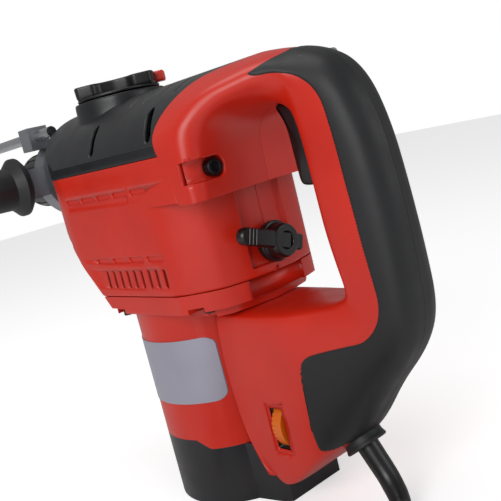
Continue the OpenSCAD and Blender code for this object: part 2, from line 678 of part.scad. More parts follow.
// Mode knob: a disc with a finger hollow on each side of its bar, and a pointer tab at one end of the bar
knob_z0 = 277.6;
knob_z1 = 288;
bar_angle = 230;
module mode_knob() color(black) difference() {
    union() {
        rod_z(knob_r, knob_z0, knob_z1, knob_x);
        rod_z(7, 266, knob_z0 + 1, knob_x);
        translate([knob_x, 0, knob_z0 + 1.9]) rotate(bar_angle) translate([knob_r - 4, -4.5, 0]) cube([11, 9, 7.6]);
    }
    for (a = [90, 270]) translate([knob_x, 0, knob_z0 + 2]) rotate(bar_angle + a) translate([knob_r + 9, 0, 0])
        cylinder(r = 19, h = 14);
}
module knob_shaft() color(steel) rod_z(3, 263, 266, knob_x + 2);
module rear_lever() color(black) union() {
    translate([-80.8, 0, lever_z]) rotate([0, -90, 0]) cylinder(r = 12.5, h = 5);
    translate([-85, 0, lever_z]) rotate([0, -90, 0]) cylinder(r = 10.5, h = 7);
    translate([-70, 0, lever_z]) rotate([0, -90, 0]) cylinder(r = 4, h = 12);
    // Finger bar and its short tail
    translate([-93, 0, lever_z]) rotate([20, 0, 0]) {
        translate([-5, 0, -5.5]) cube([7, 29, 11]);
        translate([-5, 29, 0]) rotate([0, 90, 0]) cylinder(r = 5.5, h = 7);
        translate([-3, -15, -4.5]) cube([6, 16, 9]);
    }
}

// Trigger, hinged at its top inside the handle
trigger_pivot = [-133, 237];
pin_r = 1.5;
module pivot_bar(r, half) translate([trigger_pivot[0], 0, trigger_pivot[1]]) rotate([90, 0, 0])
    cylinder(r = r, h = 2 * half, center = true);
module trigger_pin() color(steel) pivot_bar(pin_r, 14);
module trigger() color("#141416") difference() {
    side_slab(8.5) polygon([[-119, 242], [-121.5, 238], [-123.5, 228],
    [-124.5, 199], [-126.5, 196.3], [-136, 195.8], [-141, 198], [-143.5, 224], [-139, 236], [-134, 242.5]]);
    pivot_bar(pin_r + 0.05, 10);
}
module switch_body() color("#3c3f45") translate([-173, -11, 182]) cube([23, 22, 44]);
module speed_board() color("#2d6b3c") translate([-73, -10, 42]) cube([1.6, 22, 30]);
dial_at = [-80, 15.5, 54.5];
module speed_dial() color("#f08c10") translate(dial_at) rotate([0, 90, 0]) difference() {
    union() {
        cylinder(r = dial_r, h = 8, center = true);
        cylinder(r = 3, h = 10.6, center = true);
    }
    for (i = [0:35]) rotate(10 * i) translate([dial_r, 0, 3.2]) cube([0.8, 1.2, 3], center = true);
}

// Side handle: a band on the collar, a clamp screw inside the grip, and the depth rod in the band
band_x = 122;
band_w = 16;
rod_y = 28;
rod_up = 34;
module clamp_band() color("#3a3c40") difference() {
    union() {
        rod_x(33, band_x, band_x + band_w);
        translate([band_x, 20, axis_z - 11]) cube([band_w, 28, 22]);
        translate([band_x, rod_y - 8, axis_z + rod_up - 10]) cube([band_w, 16, 17]);
    }
    rod_x(collar_r + 0.05, band_x - 1, band_x + band_w + 1);
    translate([band_x - 1, rod_y, axis_z + rod_up]) rotate([0, 90, 0]) cylinder(r = 4.05, h = band_w + 2);
    translate([band_x + band_w / 2, 30, axis_z]) rotate([-90, 0, 0]) cylinder(r = 4.05, h = 30);
}
module side_grip() color(black) translate([band_x + band_w / 2, 0, axis_z]) rotate([-90, 0, 0]) union() {
    translate([0, 0, 36]) cylinder(r = 4, h = 14);
    rotate_extrude() polygon([[0, 48.4], [19, 48.4], [22, 51], [22, 54], [16, 60], [15.5, 75], [17.5, 105],
        [16.5, 130], [18.5, 142], [20.5, 150], [20, 157], [15, 161], [0, 161]]);
}
rod_start = 100;
rod_length_x = 130;
module depth_rod() color(steel) translate([rod_start, rod_y, axis_z + rod_up]) rotate([0, 90, 0])
    cylinder(r = 4, h = rod_length_x);

// Cord: strain relief, free stretch, coil with its tie, and mains plug
relief_root = [-119.5, 0, 40.4];
relief_tilt = 211;
relief_path = [[-116, 0, 46.2], [-119.5, 0, 40.4], [-123, 0, 34.7], [-126, 0, 29.5], [-129, 0, 24.5],
    [-132.3, 0.4, 19.6], [-136, 1.8, 15.2]];
relief_r = [8.6, 8.6, 8.2, 7.7, 7.1, 6.4, 5.6];
route = [[-136, 1.8, 15.2], [-139.9, 3.9, 11.3], [-144, 6.9, 8.2], [-148.1, 10.5, 5.9], [-152, 14.6, 4.5],
    [-155.8, 19.2, 4], [-163, 28.8, 4], [-171, 40.5, 4], [-179, 54.5, 4], [-186, 70, 4],
    [-191.5, 87, 4], [-195, 105, 4], [-196.2, 124, 4]];
floor_ref = [0.8, 0.6, 0];
module strain_relief() color("#1b1c1e") swept(relief_path, relief_r, floor_ref, 16);
module cord_lead() color("#1b1c1e") swept(route, [for (p = route) cord_d / 2], floor_ref, 10);
coil_at = [-140, 128];
coil_half = 16.3;
coil_h = 2 * cord_d + 0.4;
module cord_coil() color("#1b1c1e") translate(coil_at) rotate_extrude()
    translate([coil_r - coil_half, 0]) square([2 * coil_half, coil_h]);
tie_angle = -60;
module cord_tie() color("#3a3a3c") translate(coil_at) rotate(tie_angle) difference() {
    translate([coil_r - coil_half - 1.2, -4, 0]) cube([2 * coil_half + 2.4, 8, coil_h + 1.2]);
    translate([coil_r - coil_half - 0.5, -6, -1]) cube([2 * coil_half + 0.5, 12, coil_h + 1]);
}
// Plug: flat-sided round body with two round pins, lying beside the coil
plug_angle = -30;
plug_at = [-74, 155];
plug_h = 13;
module plug_place() translate([plug_at[0], plug_at[1], plug_h]) rotate(plug_angle) rotate([0, 90, 0]) children();
module plug_body() color("#1b1c1e") plug_place() {
    cylinder(r1 = 5.6, r2 = 7.5, h = 12);
    intersection() {
        translate([0, 0, 11]) cylinder(r1 = 11, r2 = 17.5, h = 26);
        translate([-13, -17, 11]) cube([26, 34, 26]);
    }
}
module plug_pins() color("#c9a14a") plug_place() for (side = [-1, 1])
    translate([0, side * 9.5, 37]) cylinder(r = 2.4, h = 19);

gear_housing();
top_cover();
motor_housing();
motor_cap();
name_plate();
handle_left();
handle_right();
grip_rubber_left();
grip_rubber_right();
bracket_screws();
bracket_buffers();
handle_screws();
flange_screws();
cap_screws();
nose_housing();
nose_screws();
crankcase();
motor_bearings();
armature_shaft();
armature_core();
commutator();
cooling_fan();
stator();
brush_holders();
carbon_brushes();
crank_bearings();
crank_gear();
crank_shaft();
connecting_rod();
piston();
striker();
impact_bolt();
pinion_bearings();
intermediate_shaft();
spindle_gear();
spindle();
spindle_bearings();
tool_holder();
locking_balls();
locking_sleeve();
sleeve_spring();
dust_cap();
mode_knob();
knob_shaft();
rear_lever();
trigger();
trigger_pin();
switch_body();
speed_dial();
speed_board();
side_grip();
clamp_band();
depth_rod();
strain_relief();
cord_lead();
cord_coil();
cord_tie();
plug_body();
plug_pins();
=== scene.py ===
import json
from math import cos, pi, radians, sin

import bmesh
import bpy
import numpy as np
from mathutils import Matrix, Vector


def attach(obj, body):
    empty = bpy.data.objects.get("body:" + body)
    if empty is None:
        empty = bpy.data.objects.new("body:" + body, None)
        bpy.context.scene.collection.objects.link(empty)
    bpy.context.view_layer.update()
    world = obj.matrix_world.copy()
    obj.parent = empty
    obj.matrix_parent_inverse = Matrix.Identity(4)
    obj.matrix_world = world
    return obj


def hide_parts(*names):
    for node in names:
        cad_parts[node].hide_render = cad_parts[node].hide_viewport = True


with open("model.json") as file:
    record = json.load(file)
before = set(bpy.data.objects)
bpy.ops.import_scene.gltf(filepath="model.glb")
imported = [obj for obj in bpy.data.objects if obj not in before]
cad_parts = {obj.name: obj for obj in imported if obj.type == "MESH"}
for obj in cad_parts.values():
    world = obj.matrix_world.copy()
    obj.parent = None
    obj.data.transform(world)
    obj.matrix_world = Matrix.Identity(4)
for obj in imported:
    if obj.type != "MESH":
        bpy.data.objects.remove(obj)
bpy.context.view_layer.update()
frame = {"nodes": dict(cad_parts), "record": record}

scene = bpy.context.scene
MM = 0.001

# ---- Camera -----------------------------------------------------------------------------------
# A camera close behind the tool, to the left and a little above it, tipped by 14 degrees.
CAMERA_AT = Vector((-0.4453, 0.3134, 0.2369))
TURN, DROP, TIP = radians(39), radians(8.8), radians(14)
ahead = Vector((cos(TURN) * cos(DROP), -sin(TURN) * cos(DROP), -sin(DROP)))
level_right = ahead.cross(Vector((0, 0, 1))).normalized()
level_up = level_right.cross(ahead)
right = cos(TIP) * level_right - sin(TIP) * level_up
up = sin(TIP) * level_right + cos(TIP) * level_up
camera_data = bpy.data.cameras.new("camera")
camera_data.sensor_width = 36
camera_data.lens = 57.5
camera_data.clip_start = 0.01
camera = bpy.data.objects.new("camera", camera_data)
camera.matrix_world = Matrix.Translation(CAMERA_AT) @ Matrix((right, up, -ahead)).transposed().to_4x4()
scene.collection.objects.link(camera)
scene.camera = camera


# ---- Cord -------------------------------------------------------------------------------------
# Round rubber-sheathed mains cord, 8 mm. It leaves the boot, drops to the floor and runs to a flat
# coil of two layers, three turns each; its last turn ends at the plug.
CORD_D = 8.0
LEAD = [(-136, 1.8, 15.2), (-139.9, 3.9, 11.3), (-144, 6.9, 8.2), (-148.1, 10.5, 5.9), (-152, 14.6, 4.5),
        (-155.8, 19.2, 4), (-163, 28.8, 4), (-171, 40.5, 4), (-179, 54.5, 4), (-186, 70, 4),
        (-191.5, 87, 4), (-195, 105, 4)]
COIL_AT = np.array([-140.0, 128.0])
COIL_OUT, COIL_IN = 56.2, 32.0
LOW_Z, HIGH_Z = 4.0, 12.1
PLUG_AT, PLUG_H, PLUG_ANGLE = np.array([-74.0, 155.0]), 13.0, radians(-30)


def coil_turns():
    """Centre line of the coil: the angle runs clockwise from 180 degrees, the radius shrinks evenly for
    three turns, the cord climbs one layer over 60 degrees, and the radius grows back over three turns."""
    layer, climb = 3 * 2 * pi, radians(60)
    a = np.r_[np.linspace(0, layer, 109), layer + np.linspace(0, climb, 8)[1:-1],
              layer + climb + np.linspace(0, layer, 109)]
    wound = np.minimum(a / layer, 1) - np.clip((a - layer - climb) / layer, 0, 1)
    radius = COIL_OUT + (COIL_IN - COIL_OUT) * wound
    t = np.clip((a - layer) / climb, 0, 1)
    z = LOW_Z + (HIGH_Z - LOW_Z) * t * t * (3 - 2 * t)
    turn = pi - a
    return np.c_[COIL_AT[0] + radius * np.cos(turn), COIL_AT[1] + radius * np.sin(turn), z]


def through(points, steps):
    """A smooth line through the given points: each stretch is a cubic whose end slopes are half the step
    between the neighbours on either side."""
    p = np.asarray(points, float)
    full = np.r_[[2 * p[0] - p[1]], p, [2 * p[-1] - p[-2]]]
    a, b, c, d = full[:-3], full[1:-2], full[2:-1], full[3:]
    t = np.linspace(0, 1, steps, endpoint=False)[:, None, None]
    line = 0.5 * (2 * b + (c - a) * t + (2 * a - 5 * b + 4 * c - d) * t ** 2
                  + (3 * b - a - 3 * c + d) * t ** 3)
    return np.r_[line.transpose(1, 0, 2).reshape(-1, p.shape[1]), [p[-1]]]


coil = coil_turns()
plug_root = np.r_[PLUG_AT, PLUG_H]
plug_way = np.array([cos(PLUG_ANGLE), sin(PLUG_ANGLE), 0])
cord_line = np.r_[through(LEAD + [tuple(coil[0])], 4)[:-1], coil,
                  through([coil[-1], plug_root - 20 * plug_way, plug_root + 2 * plug_way], 4)[1:]]
spline_data = bpy.data.curves.new("mains_cord", "CURVE")
spline_data.dimensions = "3D"
spline_data.bevel_depth = CORD_D / 2 * MM
spline_data.bevel_resolution = 3
spline_data.use_fill_caps = True
spline = spline_data.splines.new("POLY")
spline.points.add(len(cord_line) - 1)
spline.points.foreach_set("co", np.c_[cord_line * MM, np.ones(len(cord_line))].ravel())
spline.use_smooth = True
mains_cord = bpy.data.objects.new("mains_cord", spline_data)
scene.collection.objects.link(mains_cord)
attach(mains_cord, "housing")
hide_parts("cord_lead", "cord_coil")


def sheet_of(name, points, around=False, sharp=40):
    """A piece from a grid of points in millimetres, (rows, columns, 3): each face joins two neighbours of
    one row to the two of the next. around closes every row on itself; points that fall together are merged,
    which closes a pole."""
    p = np.asarray(points, float) * MM
    number = np.arange(p.shape[0] * p.shape[1]).reshape(p.shape[:2])
    if around:
        number = np.c_[number, number[:, :1]]
    quads = np.stack([number[:-1, :-1], number[:-1, 1:], number[1:, 1:], number[1:, :-1]], -1).reshape(-1,
                                                                                                       4)
    mesh = bpy.data.meshes.new(name)
    mesh.from_pydata(p.reshape(-1, 3).tolist(), [], quads.tolist())
    bm = bmesh.new()
    bm.from_mesh(mesh)
    bmesh.ops.remove_doubles(bm, verts=bm.verts, dist=3e-6)
    bmesh.ops.recalc_face_normals(bm, faces=bm.faces)
    bm.to_mesh(mesh)
    bm.free()
    mesh.shade_smooth()
    mesh.set_sharp_from_angle(angle=radians(sharp))
    obj = bpy.data.objects.new(name, mesh)
    scene.collection.objects.link(obj)
    return obj


def eased(points, radius, closed=False, steps=4):
    """A line with its corners rounded: each corner is cut back by the radius on both sides, and the cuts
    are joined by the curve (1-t)^2 a + 2t(1-t) corner + t^2 b."""
    p = np.asarray(points, float)
    back, on = np.roll(p, 1, 0) - p, np.roll(p, -1, 0) - p
    back_l = np.linalg.norm(back, axis=1, keepdims=True) + 1e-9
    on_l = np.linalg.norm(on, axis=1, keepdims=True) + 1e-9
    radius = np.broadcast_to(np.asarray(radius, float).reshape(-1, 1), (len(p), 1))
    a = p + back / back_l * np.minimum(radius, 0.45 * back_l)
    b = p + on / on_l * np.minimum(radius, 0.45 * on_l)
    t = np.linspace(0, 1, steps + 1)[None, :, None]
    arc = (1 - t) ** 2 * a[:, None] + 2 * t * (1 - t) * p[:, None] + t ** 2 * b[:, None]
    if not closed:
        arc[0], arc[-1] = p[0], p[-1]
    return arc.reshape(-1, p.shape[1])


def turned(name, profile, base, axis, around=96, ease=0.8, swell=None, sharp=40):
    """A turned piece: profile gives (radius, height) pairs along the axis from base, its corners eased. The
    point at height h and angle a is base + h axis + r (cos a side + sin a other side); swell(a, r, h) may
    change r."""
    line = eased(profile, ease)
    axis = np.asarray(axis, float) / np.linalg.norm(axis)
    side = np.cross(axis, (0, 0, 1) if abs(axis[2]) < 0.9 else (1, 0, 0))
    side /= np.linalg.norm(side)
    other = np.cross(axis, side)
    a = np.linspace(0, 2 * pi, around, endpoint=False)[None, :]
    r, h = line[:, :1], line[:, 1:]
    r = r + 0 * a if swell is None else swell(a, r + 0 * a, h + 0 * a)
    ring = np.cos(a)[..., None] * side + np.sin(a)[..., None] * other
    return sheet_of(name, np.asarray(base, float) + h[..., None] * axis + r[..., None] * ring, True, sharp)


# ---- Finishes shared by the mouldings ----------------------------------------------------------
# Moulded nylon and soft rubber: a fine spark-eroded grain, a slow drift of tone and a gloss that is
# a little uneven from handling. One group makes all three and each finish sets its own amounts.
def node_group(name, inputs, outputs):
    """An empty shader group with the named sockets: inputs as (name, kind, value), outputs as (name,
    kind)."""
    group = bpy.data.node_groups.new(name, "ShaderNodeTree")
    for label, kind, value in inputs:
        made = group.interface.new_socket(name=label, in_out="INPUT", socket_type=kind)
        if value is not None:
            made.default_value = value
    for label, kind in outputs:
        group.interface.new_socket(name=label, in_out="OUTPUT", socket_type=kind)
    return group, group.nodes.new("NodeGroupInput"), group.nodes.new("NodeGroupOutput")


def noise(tree, scale, detail, vector):
    """A noise texture read at the given vector; scale is a number or a socket, in cycles per metre."""
    made = tree.nodes.new("ShaderNodeTexNoise")
    made.inputs["Detail"].default_value = detail
    tree.links.new(vector, made.inputs["Vector"])
    if isinstance(scale, (int, float)):
        made.inputs["Scale"].default_value = scale
    else:
        tree.links.new(scale, made.inputs["Scale"])
    return made.outputs[0]


def ranged(tree, value, low, high):
    """The value, from 0.3 to 0.7 as noise mostly gives, stretched to run from low to high (numbers or
    sockets)."""
    made = tree.nodes.new("ShaderNodeMapRange")
    made.inputs["From Min"].default_value, made.inputs["From Max"].default_value = 0.3, 0.7
    tree.links.new(value, made.inputs["Value"])
    for socket, limit in (("To Min", low), ("To Max", high)):
        if isinstance(limit, (int, float)):
            made.inputs[socket].default_value = limit
        else:
            tree.links.new(limit, made.inputs[socket])
    return made.outputs["Result"]


moulding, m_in, m_out = node_group(
    "moulding", [("Vector", "NodeSocketVector", None), ("Colour", "NodeSocketColor", (0.5, 0.5, 0.5, 1)),
                 ("Faded", "NodeSocketColor", (0.5, 0.5, 0.5, 1)), ("Gloss Low", "NodeSocketFloat", 0.3),
                 ("Gloss High", "NodeSocketFloat", 0.5), ("Grain", "NodeSocketFloat", 1500.0)],
    [("Colour", "NodeSocketColor"), ("Roughness", "NodeSocketFloat"), ("Height", "NodeSocketFloat")])
tone = moulding.nodes.new("ShaderNodeMix")
tone.data_type = "RGBA"
moulding.links.new(ranged(moulding, noise(moulding, 22, 4, m_in.outputs["Vector"]), 0.0, 1.0),
                   tone.inputs["Factor"])
moulding.links.new(m_in.outputs["Colour"], tone.inputs[6])
moulding.links.new(m_in.outputs["Faded"], tone.inputs[7])
moulding.links.new(tone.outputs[2], m_out.inputs["Colour"])
moulding.links.new(ranged(moulding, noise(moulding, 75, 6, m_in.outputs["Vector"]),
                          m_in.outputs["Gloss Low"],
                          m_in.outputs["Gloss High"]), m_out.inputs["Roughness"])
moulding.links.new(noise(moulding, m_in.outputs["Grain"], 3, m_in.outputs["Vector"]),
                   m_out.inputs["Height"])


def linear(r, g, b):
    """Colour socket value of an 8-bit display colour."""
    c = np.array([r, g, b]) / 255
    return (*np.where(c <= 0.04045, c / 12.92, ((c + 0.055) / 1.055) ** 2.4).tolist(), 1.0)


def moulded(name, colour, faded, gloss, grain=1500.0, depth=0.02, metallic=0.0, coat=0.0, stretch=None):
    """A finish from the moulding group: colour drifts to faded, gloss is its (low, high) roughness, depth
    the height of the grain in millimetres. stretch scales the pattern along X, Y and Z, as brushed or drawn
    metal needs."""
    material = bpy.data.materials.new(name)
    material.use_nodes = True
    tree = material.node_tree
    shader = tree.nodes["Principled BSDF"]
    place = tree.nodes.new("ShaderNodeTexCoord").outputs["Object"]
    if stretch:
        mapping = tree.nodes.new("ShaderNodeMapping")
        mapping.inputs["Scale"].default_value = stretch
        tree.links.new(place, mapping.inputs["Vector"])
        place = mapping.outputs["Vector"]
    group = tree.nodes.new("ShaderNodeGroup")
    group.node_tree = moulding
    tree.links.new(place, group.inputs["Vector"])
    group.inputs["Colour"].default_value = colour
    group.inputs["Faded"].default_value = faded
    group.inputs["Gloss Low"].default_value, group.inputs["Gloss High"].default_value = gloss
    group.inputs["Grain"].default_value = grain
    bump = tree.nodes.new("ShaderNodeBump")
    bump.inputs["Distance"].default_value = depth * MM
    tree.links.new(group.outputs["Height"], bump.inputs["Height"])
    tree.links.new(group.outputs["Colour"], shader.inputs["Base Color"])
    tree.links.new(group.outputs["Roughness"], shader.inputs["Roughness"])
    tree.links.new(bump.outputs["Normal"], shader.inputs["Normal"])
    shader.inputs["Metallic"].default_value = metallic
    shader.inputs["Coat Weight"].default_value = coat
    shader.inputs["Coat Roughness"].default_value = 0.15
    return material


def finish(obj, material, body, slot, *nodes):
    """Gives a piece its material and its CAD body, and hides the CAD nodes that it stands for. The slot argument is
    not used."""
    obj.data.materials.clear()
    obj.data.materials.append(material)
    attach(obj, body)
    if nodes:
        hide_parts(*nodes)
    return obj


red_nylon = moulded("red_nylon", linear(203, 36, 14), linear(192, 31, 12), (0.3, 0.4), 1700, 0.012)
black_nylon = moulded("black_nylon", linear(22, 24, 28), linear(17, 18, 21), (0.32, 0.44), 1500, 0.02)
soft_rubber = moulded("soft_rubber", linear(21, 22, 25), linear(17, 18, 20), (0.46, 0.56), 1200, 0.03)
cord_rubber = moulded("cord_rubber", linear(14, 14, 16), linear(11, 11, 12), (0.3, 0.4), 900, 0.02)
knob_nylon = moulded("knob_nylon", linear(17, 17, 19), linear(13, 13, 15), (0.28, 0.38), 1600, 0.015)
bright_steel = moulded("bright_steel", linear(196, 198, 202), linear(180, 182, 186), (0.2, 0.32), 600, 0.01,
                       metallic=1.0, stretch=(1, 1, 14))
black_steel = moulded("black_steel", linear(52, 53, 56), linear(40, 41, 44), (0.28, 0.4), 900, 0.01,
                      metallic=0.85)
mains_cord.data.materials.append(cord_rubber)


# ---- Handle -----------------------------------------------------------------------------------
# Two nylon half shells, screwed together along the middle: a saddle hood over the back of the cover,
# a closed grip, and a deep leg beside the motor. One net of control points gives each half.
HANDLE_NET = np.array([
    [(-91, 0, 202), (-92, 20, 202), (-94, 42, 202), (-95.5, 51, 202),
     (-92, 58, 202), (-86, 58.5, 202), (-80, 58.5, 202), (-79, 58.5, 202)],
    [(-91.5, 0, 222), (-92.5, 20, 222), (-94.5, 42, 222), (-95.5, 51, 222),
     (-91, 58, 222.5), (-82, 58.5, 224), (-76, 58.5, 225.5), (-72, 58.5, 226)],
    [(-93, 0, 233), (-94, 16, 234), (-96, 38, 236), (-96, 50, 239),
     (-90, 56.5, 242), (-80, 57.5, 241), (-70, 57.8, 240), (-66, 57.5, 239.5)],
    [(-98, 0, 238.5), (-99, 13, 240), (-101, 32, 243.5), (-102, 45.5, 246.5),
     (-95, 50.5, 250.5), (-84, 51.5, 250), (-72, 52, 249), (-67.5, 52, 249)],
    [(-106, 0, 241), (-107, 11, 242.5), (-109, 27, 247), (-110, 40, 251.5),
     (-102, 45, 256.5), (-91, 45.5, 257), (-78, 45, 257.5), (-74, 45, 257.5)],
    [(-114, 0, 242.5), (-115, 10, 243.5), (-117, 23, 247.5), (-119, 34.5, 255),
     (-112, 38.5, 260), (-101, 38, 262.5), (-88, 36.5, 264.6), (-83, 36, 265)],
    [(-122, 0, 242.5), (-123, 10, 243.5), (-125, 19.5, 248), (-127.5, 28, 257),
     (-122, 31, 262.5), (-112, 30.2, 265.5), (-101, 28, 268.6), (-97, 27.8, 269.4)],
    [(-129, 0, 240.5), (-130, 11, 241), (-132, 17, 246), (-135, 23, 256),
     (-132, 25, 263), (-124, 21.5, 268.2), (-115, 8, 273), (-112, 0, 273.6)],
    [(-134.5, 0, 235), (-135.5, 11, 235.5), (-138.5, 16.5, 241), (-143.5, 20, 253),
     (-143, 21.2, 260.6), (-137, 16.5, 267.4), (-129, 8.5, 271.4), (-125, 0, 271.8)],
    [(-139, 0, 224), (-139, 10, 224), (-140.5, 15.5, 226), (-145, 18.5, 231),
     (-156, 18.6, 246), (-156.4, 16.4, 257), (-151.5, 9.5, 266), (-149.5, 0, 267.8)],
    [(-140, 0, 208), (-140, 10, 208), (-141.5, 15.5, 209), (-145.5, 18.5, 212),
     (-162, 18.6, 228), (-170.5, 16.2, 242.5), (-170.5, 9.4, 254.6), (-170, 0, 257.4)],
    [(-140.5, 0, 190), (-140.5, 10, 190), (-142, 15.5, 190), (-146, 18.5, 191),
     (-165, 18.4, 203), (-177, 15.6, 215), (-181.6, 8.6, 225), (-183, 0, 227)],
    [(-141, 0, 172), (-141, 10, 172), (-142.5, 15.5, 172), (-147, 18.5, 172),
     (-167, 18.3, 178), (-180, 15.2, 183), (-185.4, 8, 187), (-186.6, 0, 188)],
    [(-143, 0, 155), (-143, 10, 155), (-144.5, 15.5, 155), (-149.5, 18.5, 154),
     (-169.5, 18.3, 153), (-181.6, 15.4, 152), (-186.6, 8.2, 151), (-187.4, 0, 151)],
    [(-147, 0, 138), (-147, 11, 138), (-148.5, 16.2, 136), (-153.5, 19, 131.5),
     (-171, 18.6, 129), (-182, 15.6, 123), (-185, 8.2, 118), (-184.5, 0, 115)],
    [(-140, 0, 131.5), (-140, 12, 131.5), (-142.5, 18, 130), (-148, 20.4, 125.5),
     (-162, 20.3, 113), (-172, 17, 104), (-174, 9, 98), (-172.5, 0, 96.5)],
    [(-124, 0, 130.5), (-124, 14, 130), (-124, 20.8, 128.5), (-127, 23.6, 124.5),
     (-138, 22.5, 98), (-149, 19, 84), (-152, 10, 77), (-151.5, 0, 75.5)],
    [(-112, 0, 129.5), (-112, 16, 129.3), (-112, 24, 127.5), (-112.5, 27, 124),
     (-119, 25.5, 85), (-128, 22, 64), (-134, 12, 55), (-134, 0, 53)],
    [(-104, 0, 129), (-104, 17, 129), (-104, 25.5, 127), (-104.5, 28.5, 123.5),
     (-107, 27.8, 62), (-108, 27.5, 43), (-110.5, 23, 38), (-114, 0, 37)],
    [(-94, 0, 129), (-94, 18, 129), (-94, 26.5, 127), (-94, 29.5, 123.5),
     (-93, 29.2, 50), (-93, 29, 30), (-94.5, 25, 26), (-97, 0, 27)],
    [(-84, 0, 129), (-84, 18, 129), (-84, 27, 127), (-84, 30, 123.5),
     (-80, 29.8, 38), (-77, 29.6, 17.5), (-78.5, 26, 14.8), (-81, 0, 17)],
    [(-70, 0, 129), (-70, 18, 129), (-70, 27, 127.5), (-70, 30, 124),
     (-66, 30, 40), (-66, 29.8, 17), (-68, 26.5, 14.6), (-69, 20, 16)],
    [(-50, 10, 129), (-48, 18, 129), (-46, 27, 127.5), (-44.5, 30, 124),
     (-42.4, 30, 85), (-46, 30, 50), (-55, 30, 28), (-60, 30, 21)],
], float)
NET_ROWS, NET_COLUMNS = HANDLE_NET.shape[:2]
HANDLE_WALL, RUBBER_WALL = 2.5, 1.2
PER_ROW, PER_COLUMN = 8, 8


def blend_matrix(count, steps, at=None):
    """Weights of a quadratic uniform B-spline with its end points doubled: at parameter i + t the point is
    (1-t)^2/2 of the one before, 1/2 + t - t^2 of point i and t^2/2 of the one after."""
    u = np.linspace(0, count, count * steps + 1) if at is None else np.asarray(at, float)
    i = np.minimum(u.astype(int), count - 1)
    t = u - i
    weights = np.zeros((len(u), count))
    rows = np.arange(len(u))
    np.add.at(weights, (rows, np.maximum(i - 1, 0)), 0.5 * (1 - t) ** 2)
    np.add.at(weights, (rows, i), 0.5 + t - t * t)
    np.add.at(weights, (rows, np.minimum(i + 1, count - 1)), 0.5 * t * t)
    return weights


def handle_point(s, t):
    """The left half's surface at paired arrays of row and column parameters: the net weighted both ways."""
    by_row, by_column = blend_matrix(NET_ROWS, 1, s.ravel()), blend_matrix(NET_COLUMNS, 1, t.ravel())
    return np.einsum("ni,nj,ijk->nk", by_row, by_column, HANDLE_NET).reshape(*s.shape, 3)


grid = np.einsum("ai,bj,ijk->abk", blend_matrix(NET_ROWS, PER_ROW), blend_matrix(NET_COLUMNS, PER_COLUMN),
                 HANDLE_NET)


def walled(obj, wall):
    """Gives an open shell its wall, inward from the surface, in millimetres."""
    made = obj.modifiers.new("wall", "SOLIDIFY")
    made.thickness = wall * MM
    made.offset = -1
    made.use_even_offset = False
    return obj


def facing(obj, outside):
    """Turns an open shell's faces round if they look away from the point (mm) outside it."""
    mesh = obj.data
    count = len(mesh.polygons)
    centre, normal, area = np.zeros(3 * count), np.zeros(3 * count), np.zeros(count)
    mesh.polygons.foreach_get("center", centre)
    mesh.polygons.foreach_get("normal", normal)
    mesh.polygons.foreach_get("area", area)
    away = np.asarray(outside, float) * MM - centre.reshape(-1, 3)
    if (np.einsum("ij,ij->i", away, normal.reshape(-1, 3)) * area).sum() < 0:
        mesh.flip_normals()
    return obj


def applied(obj):
    """The piece with its modifiers worked into its mesh."""
    ready = bpy.data.meshes.new_from_object(obj.evaluated_get(bpy.context.evaluated_depsgraph_get()))
    obj.modifiers.clear()
    obj.data = ready
    return obj


def cut(obj, *tools):
    """The piece less the given closed tools, which are used up."""
    for tool in tools:
        made = obj.modifiers.new("cut", "BOOLEAN")
        made.operation, made.solver, made.object = "DIFFERENCE", "EXACT", tool
    applied(obj)
    for tool in tools:
        bpy.data.objects.remove(tool)
    return obj


def block(name, outline, low, high, axis):
    """A straight closed bar: an outline of pairs carried from low to high along axis 0, 1 or 2; the pairs
    are the two other axes in order. Each end is closed by faces drawn in to its middle."""
    line = np.asarray(outline, float)
    middle = np.repeat(line.mean(0)[None], len(line), 0)
    rings = [(middle, low), (line, low), (line, high), (middle, high)]
    return sheet_of(name, [np.insert(ring, axis, height, axis=1) for ring, height in rings], True)


# Where the soft rubber skin lies, seen from the side: its edge from the tongue down to the leg and under it
RUBBER_EDGE = [(-124.6, 262.5), (-128, 259), (-138, 258.4), (-148.6, 255), (-155.4, 250), (-160, 244.5),
               (-163, 237.6), (-165, 220), (-166, 200), (-168, 165), (-170.6, 134), (-169, 125),
               (-164, 117.4),
               (-156, 111.5), (-117, 104), (-111, 100), (-109, 93), (-107, 60), (-106.3, 47), (-109, 42),
               (-116, 43),
               (-124, 46.5), (-130, 46)]
rubber_area = np.array(eased(RUBBER_EDGE, 4).tolist() + [(-140, 30), (-210, 60), (-210, 300), (-141, 280),
                                                         (-139, 269)])


def inside(area, x, z):
    """True where (x, z) is in the closed outline: a ray towards +X crosses it an odd number of times."""
    a, b = area, np.roll(area, -1, 0)
    crosses = (a[:, 1] > z[..., None]) != (b[:, 1] > z[..., None])
    fall = np.where(b[:, 1] == a[:, 1], 1e-9, b[:, 1] - a[:, 1])
    at = a[:, 0] + (z[..., None] - a[:, 1]) * (b[:, 0] - a[:, 0]) / fall
    return (crosses & (x[..., None] < at)).sum(-1) % 2 == 1


s_fine, t_fine = np.linspace(6, 20, 421), np.linspace(2.6, 8, 541)
side_view = handle_point(*np.meshgrid(s_fine, t_fine, indexing="ij"))
covered = inside(rubber_area, side_view[..., 0], side_view[..., 2])
rows = covered.any(1)
first, last = np.argmax(covered, 1)[rows], covered.shape[1] - 1 - np.argmax(covered[:, ::-1], 1)[rows]
s_rubber = s_fine[rows]


def settled(values, reach=3):
    """Each value replaced by the mean of itself and its neighbours within reach, so that a line sampled in
    steps runs evenly."""
    padded = np.pad(values, reach, mode="edge")
    return np.convolve(padded, np.ones(2 * reach + 1) / (2 * reach + 1), mode="valid")


